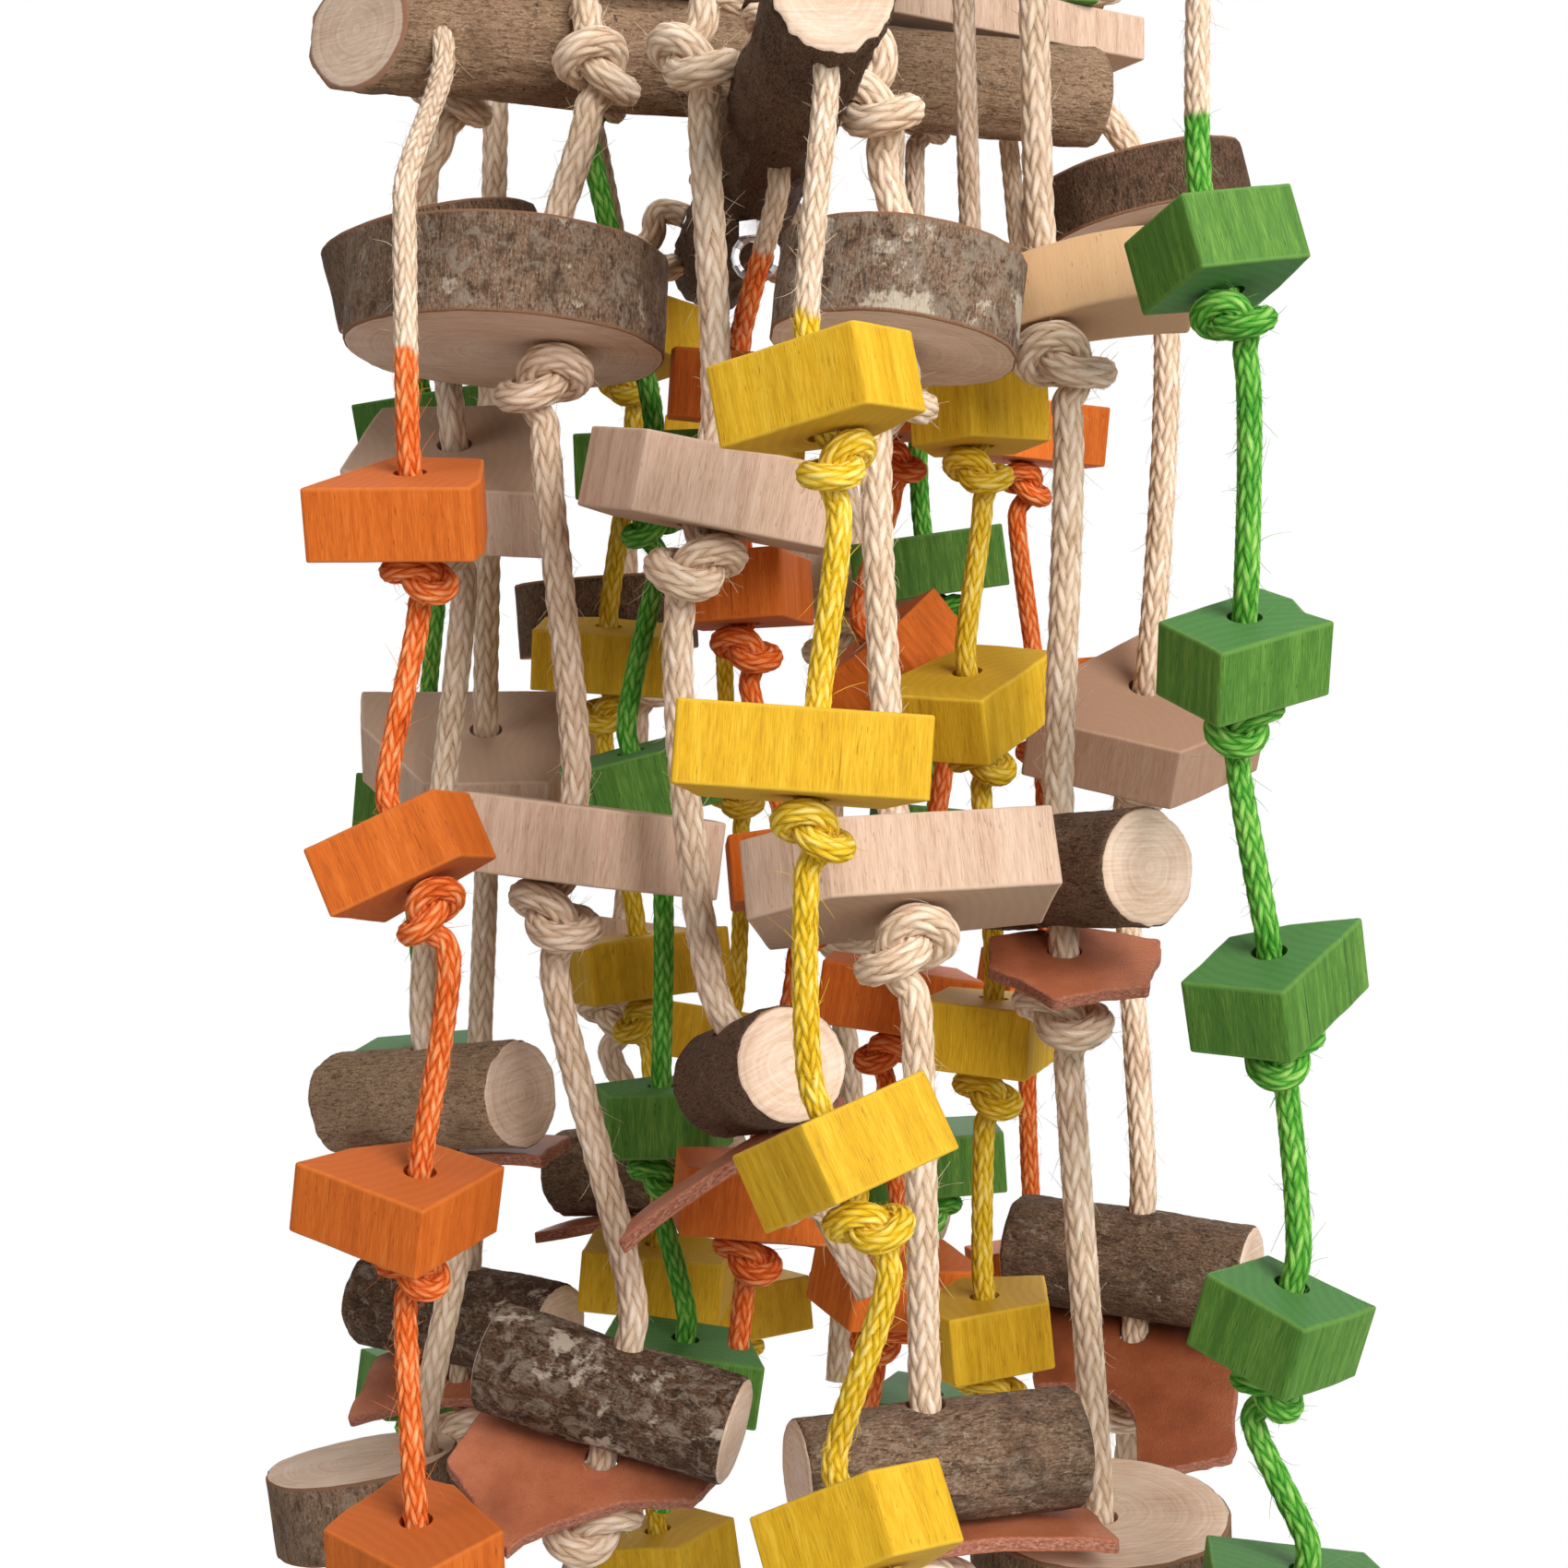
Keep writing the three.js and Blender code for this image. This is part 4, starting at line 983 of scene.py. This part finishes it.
def tight_knot(count=91, length=18.0, pulled=8.8, steps=1200, contact=0.9):
    """Centreline of an overhand knot pulled tight, in rope diameters, from the top of Z down."""
    t = np.linspace(-2.25, 2.25, count)
    chain = np.stack([t**3 - 3 * t, t**4 - 4 * t**2, -(t**5 - 10 * t) / 3], axis=1)
    spacing = length / (count - 1)
    chain *= length / line_length(chain)
    order = np.arange(count)
    free = np.abs(order[:, None] - order[None]) * spacing > 1.9
    span = int(round(1.3 / spacing))
    first, last = chain[0].copy(), chain[-1].copy()
    for step in range(steps):
        share = min(1, step / (0.7 * steps))
        chain[0] = first * (1 - share) + share * UP * pulled / 2
        chain[-1] = last * (1 - share) - share * UP * pulled / 2
        for _ in range(4):
            gap = np.diff(chain, axis=0)
            move = 0.45 * gap * (1 - spacing / np.linalg.norm(gap, axis=1, keepdims=True))
            chain[:-1] += move
            chain[1:] -= move
        chord = chain[span:] - chain[:-span]
        push = 0.1 * chord * np.maximum(0, 1.05 / np.linalg.norm(chord, axis=1, keepdims=True) - 1)
        chain[span:] += push
        chain[:-span] -= push
        between = chain[:, None] - chain[None]
        away = np.linalg.norm(between, axis=2) + 1e-9
        close = np.where(free & (away < contact), 0.5 * (contact - away) / away, 0)
        touching = np.maximum(1, (close > 0).sum(axis=1))[:, None]
        chain += 0.75 * (between * close[:, :, None]).sum(axis=1) / touching
        chain[1:-1] += 0.05 * (chain[:-2] + chain[2:] - 2 * chain[1:-1])
    chain[:, 2] *= KNOT_TALL
    inward = 1 - smooth(0.7, KNOT_TOP + 0.1, np.abs(chain[:, 2]))
    chain[:, :2] *= inward[:, None]
    return chain[np.abs(chain[:, 2]) < KNOT_END]


KNOT = tight_knot()


def knot_points(centre, axis, diameter, turn, mirrored=False):
    """A tight knot at its place on a rope that runs down against the axis."""
    side = unit(np.array([1.0, 0, 0]) - axis * axis[0])
    front = np.cross(axis, side)
    local = KNOT * np.array([-1 if mirrored else 1, 1, 1]) * diameter
    spin = math.radians(turn)
    x = local[:, 0] * math.cos(spin) - local[:, 1] * math.sin(spin)
    y = local[:, 0] * math.sin(spin) + local[:, 1] * math.cos(spin)
    return centre + x[:, None] * side + y[:, None] * front + local[:, 2:3] * axis


def settle(strand):
    """Puts every piece of a strand at its place and turn."""
    above = None
    for piece in strand["pieces"]:
        if piece["at"]:
            drop, right, back = piece["at"]
            piece["position"] = strand["pivot"] + np.array([right, back, -drop], dtype=float)
            piece["rotation"] = turned(*piece["tilt"])
            piece["axis"] = piece["rotation"][:, 2]
        else:
            swing, slope, turn = piece["tilt"]
            apart = (above["radius"] + REST_GAP + piece["thick"] / 2) / math.cos(piece["slope"])
            apart += piece["drop"]
            piece["axis"] = above["axis"]
            sloping = turned(0, 0, swing) @ turned(0, slope, 0) @ turned(0, 0, turn)
            piece["rotation"] = above["rotation"] @ sloping
            piece["position"] = above["position"] - apart * piece["axis"]
        above = piece


def half_thick(piece):
    """Half of a piece's height along its rope."""
    return piece["radius"] if piece["kind"] == "log" else piece["thick"] / 2 / math.cos(piece.get("slope", 0))


def knot_slack(piece, diameter):
    """Room that a sloping piece needs above the knot under it."""
    return max(0, 1.35 * diameter * math.tan(piece.get("slope", 0)) - 1.2)


def rope_top(strand, diameter):
    """The rope's way out of the branch that it hangs from, down to the first free point."""
    pivot = strand["pivot"]
    free = pivot - HANG_STUB * UP
    if not strand.get("tied"):
        return [pivot + ROPE_INSIDE * UP, pivot, free]
    heading = math.radians(strand["on"]["heading"])
    inward = -strand["tied"] * np.array([math.sin(heading), -math.cos(heading), 0])
    if strand.get("plain_tie"):
        start = pivot + 9 * inward + ROPE_INSIDE * UP
        return list(bezier(start, start - 4 * inward, pivot + 4 * UP, free))
    over = pivot + KNOT_END * diameter * UP
    start = over + 11 * inward + 3 * UP
    lead = bezier(start, start - 8 * inward + 3 * UP, over + 6 * UP, over)
    return [*lead, *knot_points(pivot, UP, diameter, strand["on"]["heading"] + 40)]


def rope_route(strand, random):
    """Centreline of a strand's rope, through its pieces and the knots under them."""
    diameter = 2 * strand["rope"]["radius"]
    line = rope_top(strand, diameter)
    heading = -UP

    def run_to(end, onward):
        start = line[-1]
        reach = ROPE_HANDLE * np.linalg.norm(end - start)
        line.extend(bezier(start, start + reach * heading, end - reach * onward, end)[1:])

    for drop, right, back in strand.get("bends", []):
        run_to(strand["pivot"] + np.array([right, back, -drop]), -UP)
    for piece in strand["pieces"]:
        half = half_thick(piece)
        onward = -piece["axis"]
        if piece["at"]:
            run_to(piece["position"] - (half + ROPE_LEAD) * onward, onward)
        heading = onward
        if piece["kind"] == "log":
            line.append(piece["position"] + half * onward)
            continue
        apart = half + REST_GAP + knot_slack(piece, diameter) + KNOT_TOP * diameter
        centre = piece["position"] + apart * onward
        turn = random.uniform(-35, 35)
        line.extend(knot_points(centre, piece["axis"], diameter, turn, random.random() < 0.5))
    line.append(line[-1] + strand["rope"]["tail"] * heading)
    even = resample(np.array(line), 1.0)
    for _ in range(4):
        even[1:-1] = 0.25 * even[:-2] + 0.5 * even[1:-1] + 0.25 * even[2:]
    return even


def frames_along(line):
    """Directions along, beside and above each point, with the least twist from point to point."""
    along = unit(np.gradient(line, axis=0))
    beside = np.empty_like(line)
    beside[0] = unit(np.cross(along[0], [0.2, 1.0, 0.1]))
    for i in range(1, len(line)):
        beside[i] = unit(beside[i - 1] - along[i] * (along[i] @ beside[i - 1]))
    return along, beside, np.cross(along, beside)


def round_each(ring, beside, above):
    """A circle of directions round each point."""
    return ring[:, :1] * beside[:, None] + ring[:, 1:] * above[:, None]


def braid_relief(around, turns):
    """Height of a plait from 0 in its creases to 1 on its yarns."""
    first = BRAID_COUNT * (around - turns)
    second = BRAID_COUNT * (around + turns)
    place = (np.floor(first) + np.floor(second)) % 4
    over = place > 1.5
    first_part = first - np.floor(first)
    second_part = second - np.floor(second)
    across = np.where(over, second_part, first_part) - 0.5
    lengthwise = (place % 2 + np.where(over, first_part, second_part)) / 2 - 0.5
    return (1 - 3.0 * across**2) * (1 - 2.6 * lengthwise**2)


def rope_object(name, line, radius, finish, sides, step, dye=None):
    """A plaited rope along a line, closed at both ends."""
    line = resample(line, step)
    _, beside, above = frames_along(line)
    distance = np.arange(len(line)) * line_length(line) / (len(line) - 1)
    around = np.arange(sides) / sides
    turns = distance / (2 * radius * BRAID_PITCH)
    relief = braid_relief(around[None], turns[:, None])
    uneven = 1 + 0.03 * lumps(line, 11, 3)
    wide = radius * (BRAID_TOP - BRAID_DEPTH + BRAID_DEPTH * relief) * uneven[:, None]
    rings = line[:, None] + wide[:, :, None] * round_each(circle(2 * np.pi * around), beside, above)
    points = np.vstack([rings.reshape(-1, 3), line[0], line[-1]])
    made = mesh_object(name, points, tube_faces(len(line), sides), [finish], 180)
    rope_uv(made, len(line), sides, turns)
    dyed = np.zeros(len(points))
    if dye is not None:
        wander = 2.2 * lumps(points[:-2], 2.5, 5)
        dyed[:-2] = smooth(dye - 1.5, dye + 1.5, np.repeat(distance, sides) + wander)
        dyed[-1] = 1
    tag(made, grain=points, dye=dyed)
    return made


def rope_uv(made, rings, sides, turns):
    """Way round the rope in U, and turns of its yarns in V."""
    layer = made.data.uv_layers.new(name="UVMap")
    side = np.arange(sides)
    corner_u = np.stack([side, side + 1, side + 1, side], axis=1) / sides
    uv = np.empty((rings - 1, sides, 4, 2))
    uv[..., 0] = corner_u[None]
    uv[..., 0:2, 1] = turns[:-1, None, None]
    uv[..., 2:4, 1] = turns[1:, None, None]
    caps = np.zeros((len(made.data.loops) - uv.size // 2, 2))
    layer.data.foreach_set("uv", np.vstack([uv.reshape(-1, 2), caps]).astype(np.float32).ravel())


def fuzz_object(name, line, radius, finish, count, random, dye=0):
    """Loose fibres that stand off a rope, as one mesh of thin three-sided hairs."""
    rings, sides = 5, 3
    line = resample(line, 1.0)
    along, beside, above = frames_along(line)
    root = random.integers(2, len(line) - 2, count)
    angle = random.uniform(0, 2 * np.pi, count)[:, None]
    out = np.cos(angle) * beside[root] + np.sin(angle) * above[root]
    lay = random.choice([-1.0, 1.0], count)[:, None] * along[root]
    lift = random.uniform(0.25, 1.1, count)[:, None]
    length = random.gamma(2.0, 1.25, count)[:, None].clip(0.9, 7)
    curl = random.normal(0, 0.35, (count, 3))
    heading = unit(lay + lift * out)
    steps = np.linspace(0, 1, rings)[:, None]
    base = line[root] + radius * out
    spine = base[:, None] + length[:, None] * (steps * heading[:, None] + steps**2 * curl[:, None])
    thin = np.linspace(0.1, 0.04, rings)[:, None, None]
    first = unit(np.cross(heading, [0.3, 0.5, 0.8]))
    ring = round_each(circle(round_angles(sides)), first, np.cross(heading, first))
    points = (spine[:, :, None] + thin * ring[:, None]).reshape(-1, 3)
    hair = ring_faces(rings, sides, False) + [(2, 1, 0), (12, 13, 14)]
    size = rings * sides
    faces = [tuple(corner + size * k for corner in face) for k in range(count) for face in hair]
    made = mesh_object(name, points, faces, [finish], 180)
    tag(made, grain=points, dye=np.repeat(root > dye, size))
    return made


# Assembly

def fit(made, body, node=None, slot=None):
    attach(made, body)
    if node:
        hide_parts(node)


def crown_heights():
    for arm in (UPPER, CROSS, FRONT, BOARD):
        low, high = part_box(arm["node"])
        arm["height"] = (low[2] + high[2]) / 2 / MM


def arm_rotation(arm):
    return turned(0, 0, arm["heading"])


def make_crown():
    arms = [(UPPER, (0.55, 0.35), 0.8, 0), (CROSS, (0.25, 0.2), 0.9, 0.67), (FRONT, (0.95, 0.1), 1.2, 0)]
    for number, (arm, looks, ridges, slant) in enumerate(arms):
        seed = ARM_SEED * (number + 1)
        made = branch_object(arm["node"] + "_bark", arm, seed, ridges, slant)
        tag_branch(made, arm, seed, looks)
        stand(made, arm_rotation(arm), arm["height"] * UP)
        fit(made, "crown", arm["node"], "bark_wood")
    outline = oblong(BOARD["back"], BOARD["reach"], BOARD["width"] / 2)
    piece = {"kind": "board", "colour": "pale", "thick": BOARD["thick"], "outline": outline}
    made = slab_object("crown_board_wood", piece, THIN, BOARD_SEED)
    tag(made, tone=0.3)
    stand(made, arm_rotation(BOARD), BOARD["height"] * UP)
    fit(made, "crown", "crown_board", "pale_wood")


def top_of(strand):
    """The point over a strand on the top of the branch or board that it hangs from."""
    arm = strand["on"]
    heading = math.radians(arm["heading"])
    half = BOARD["thick"] / 2
    if arm is not BOARD:
        share = (strand["along"] + arm["back"]) / (arm["reach"] + arm["back"])
        half = arm["back_radius"] + (arm["radius"] - arm["back_radius"]) * share
    out = strand["along"] * np.array([math.cos(heading), math.sin(heading), 0])
    return out + (arm["height"] + half) * UP


def make_stoppers():
    """Knots on the crown that keep each rope in its hole, one of them over a loose block."""
    random = np.random.default_rng(7)
    for strand in STRANDS:
        if strand.get("tied") or not strand.get("stopper", True):
            continue
        name = strand["name"]
        radius = strand["rope"]["radius"]
        top = top_of(strand)
        if strand.get("capped"):
            piece = block("green", None, [0, 0, 0], CAP_BLOCK)
            made = slab_object(f"{name}_cap", piece, strand["rope"], CAP_SEED)
            tag(made, tone=0.3, lichen=0)
            stand(made, turned(0, 0, CAP_TURN), top + BLOCK_THICK / 2 * UP)
            fit(made, "crown", slot="green_wood")
            top = top + BLOCK_THICK * UP
        centre = top + 2 * KNOT_TOP * radius * UP
        knot = knot_points(centre, UP, 2 * radius, random.uniform(-180, 180), random.random() < 0.5)
        line = np.vstack([knot[0] + STOPPER_END * UP, knot, top - ROPE_INSIDE * UP])
        made = rope_object(f"{name}_stopper", resample(line, 1.0), radius, "sisal", **STOPPER_ROPE)
        fit(made, "crown", slot="sisal")


def piece_names(strand):
    """The node of each piece, numbered where a strand has several of a kind."""
    kinds = [piece["kind"] for piece in strand["pieces"]]
    seen = {}
    for kind in kinds:
        seen[kind] = seen.get(kind, 0) + 1
        number = f"_{seen[kind]}" if kinds.count(kind) > 1 else ""
        yield f"{kind}_{strand['name']}{number}"


def make_piece(name, piece, strand, seed):
    if piece["kind"] == "log":
        made = branch_object(name + "_bark", piece, seed)
        drill(made, strand["rope"]["radius"] + HOLE_ROOM, piece["radius"] + 3)
        tag_branch(made, piece, seed, piece["looks"])
    else:
        made = slab_object(name + "_shape", piece, strand["rope"], seed)
        tone, lichen = piece.get("looks", (abs(math.sin(3.1 * seed)), 0))
        tag(made, tone=tone, lichen=lichen)
    stand(made, piece["rotation"], piece["position"])
    return made


def make_strand(number, strand):
    random = np.random.default_rng(100 + number)
    name = strand["name"]
    body = f"{name}_strand"
    whole = strand.get("whole", False)
    radius = strand["rope"]["radius"]
    settle(strand)
    line = rope_route(strand, random)
    finish = "sisal" if strand["rope"] is THICK else "sisal_" + strand["pieces"][0]["colour"]
    mesh = FAR_ROPE if whole else NEAR_ROPE
    rope = rope_object(f"{name}_plait", line, radius, finish, mesh["sides"], mesh["step"], strand.get("dyed"))
    fit(rope, body, f"strand_{name}" if whole else f"rope_{name}", finish)
    round(line_length(line) * MM, 3)
    2 * radius * MM
    fuzz = fuzz_object(f"{name}_fuzz", line, radius, "fibre_" + finish, mesh["fibres"], random,
                       strand.get("dyed", 0))
    fit(fuzz, body, slot=finish)
    for index, (node, piece) in enumerate(zip(piece_names(strand), strand["pieces"])):
        made = make_piece(node, piece, strand, STRAND_SEED * (number + 1) + PIECE_SEED * index)
        if whole:
            fit(made, body, slot=SLOTS[piece["colour"]])
        else:
            fit(made, node, node, SLOTS[piece["colour"]])


def make_steel():
    for node in ("hang_ring", "eye_bolt", "eye_nut"):
        made = frame["nodes"][node]
        made.data.materials.clear()
        made.data.materials.append(FINISHES["steel"])


def find_pivots():
    places = {joint["name"]: joint["pos_m"] for joint in frame["joints"]}
    for strand in STRANDS:
        strand["pivot"] = np.array(places[strand["name"] + "_swing"]) / MM


# Floor, light and camera

def make_floor():
    half = FLOOR_SIZE / 2
    corners = np.pad(oblong(half, half, half), ((0, 0), (0, 1)))
    floor = mesh_object("floor", corners, [(0, 1, 2, 3)], ["floor"])
    floor.location.z = FLOOR_HEIGHT * MM


def make_world():
    world = bpy.data.worlds.new("studio")
    world.use_nodes = True
    nodes = Nodes(world.node_tree)
    ambient = nodes.tree.nodes["Background"]
    ambient.inputs["Color"].default_value = WHITE
    ambient.inputs["Strength"].default_value = AMBIENT
    white = nodes.node("Background", {"Color": WHITE, "Strength": 1.0})
    shown = nodes.white_to_camera(1.0, Value(nodes, ambient.outputs[0]), white)
    nodes.link(shown, nodes.tree.nodes["World Output"].inputs["Surface"])
    bpy.context.scene.world = world


def area_light(name, place, size, power):
    lamp = bpy.data.lights.new(name, "AREA")
    lamp.shape = "SQUARE"
    lamp.size = size * MM
    lamp.energy = power
    made = add_object(name, lamp)
    made.location = Vector(place) * MM
    made.rotation_euler = (Vector(TOY_MIDDLE) - Vector(place)).to_track_quat("-Z", "Y").to_euler()


def make_camera():
    data = bpy.data.cameras.new("camera")
    data.sensor_width = SENSOR
    data.lens = SENSOR * FOCAL_PIXELS / FRAME_PIXELS
    data.shift_x = (FRAME_PIXELS / 2 - HUB_PIXEL) / FRAME_PIXELS
    camera = add_object("camera", data)
    camera.location = (0, -CAMERA_BACK * MM, CAMERA_HEIGHT * MM)
    camera.rotation_euler = (math.pi / 2, 0, 0)
    bpy.context.scene.camera = camera


bpy.context.scene.view_settings.view_transform = "Standard"
make_camera()
find_pivots()
crown_heights()
for strand_number, each_strand in enumerate(STRANDS):
    make_strand(strand_number, each_strand)
make_crown()
make_stoppers()
make_steel()
make_floor()
make_world()
area_light("key", (820, -1350, 330), 1100, 40)
area_light("fill", (-1300, -900, 250), 900, 6)
area_light("top", (-100, 300, 1100), 900, 9)
area_light("back", (300, 1600, 200), 900, 13)

bpy.context.view_layer.update()
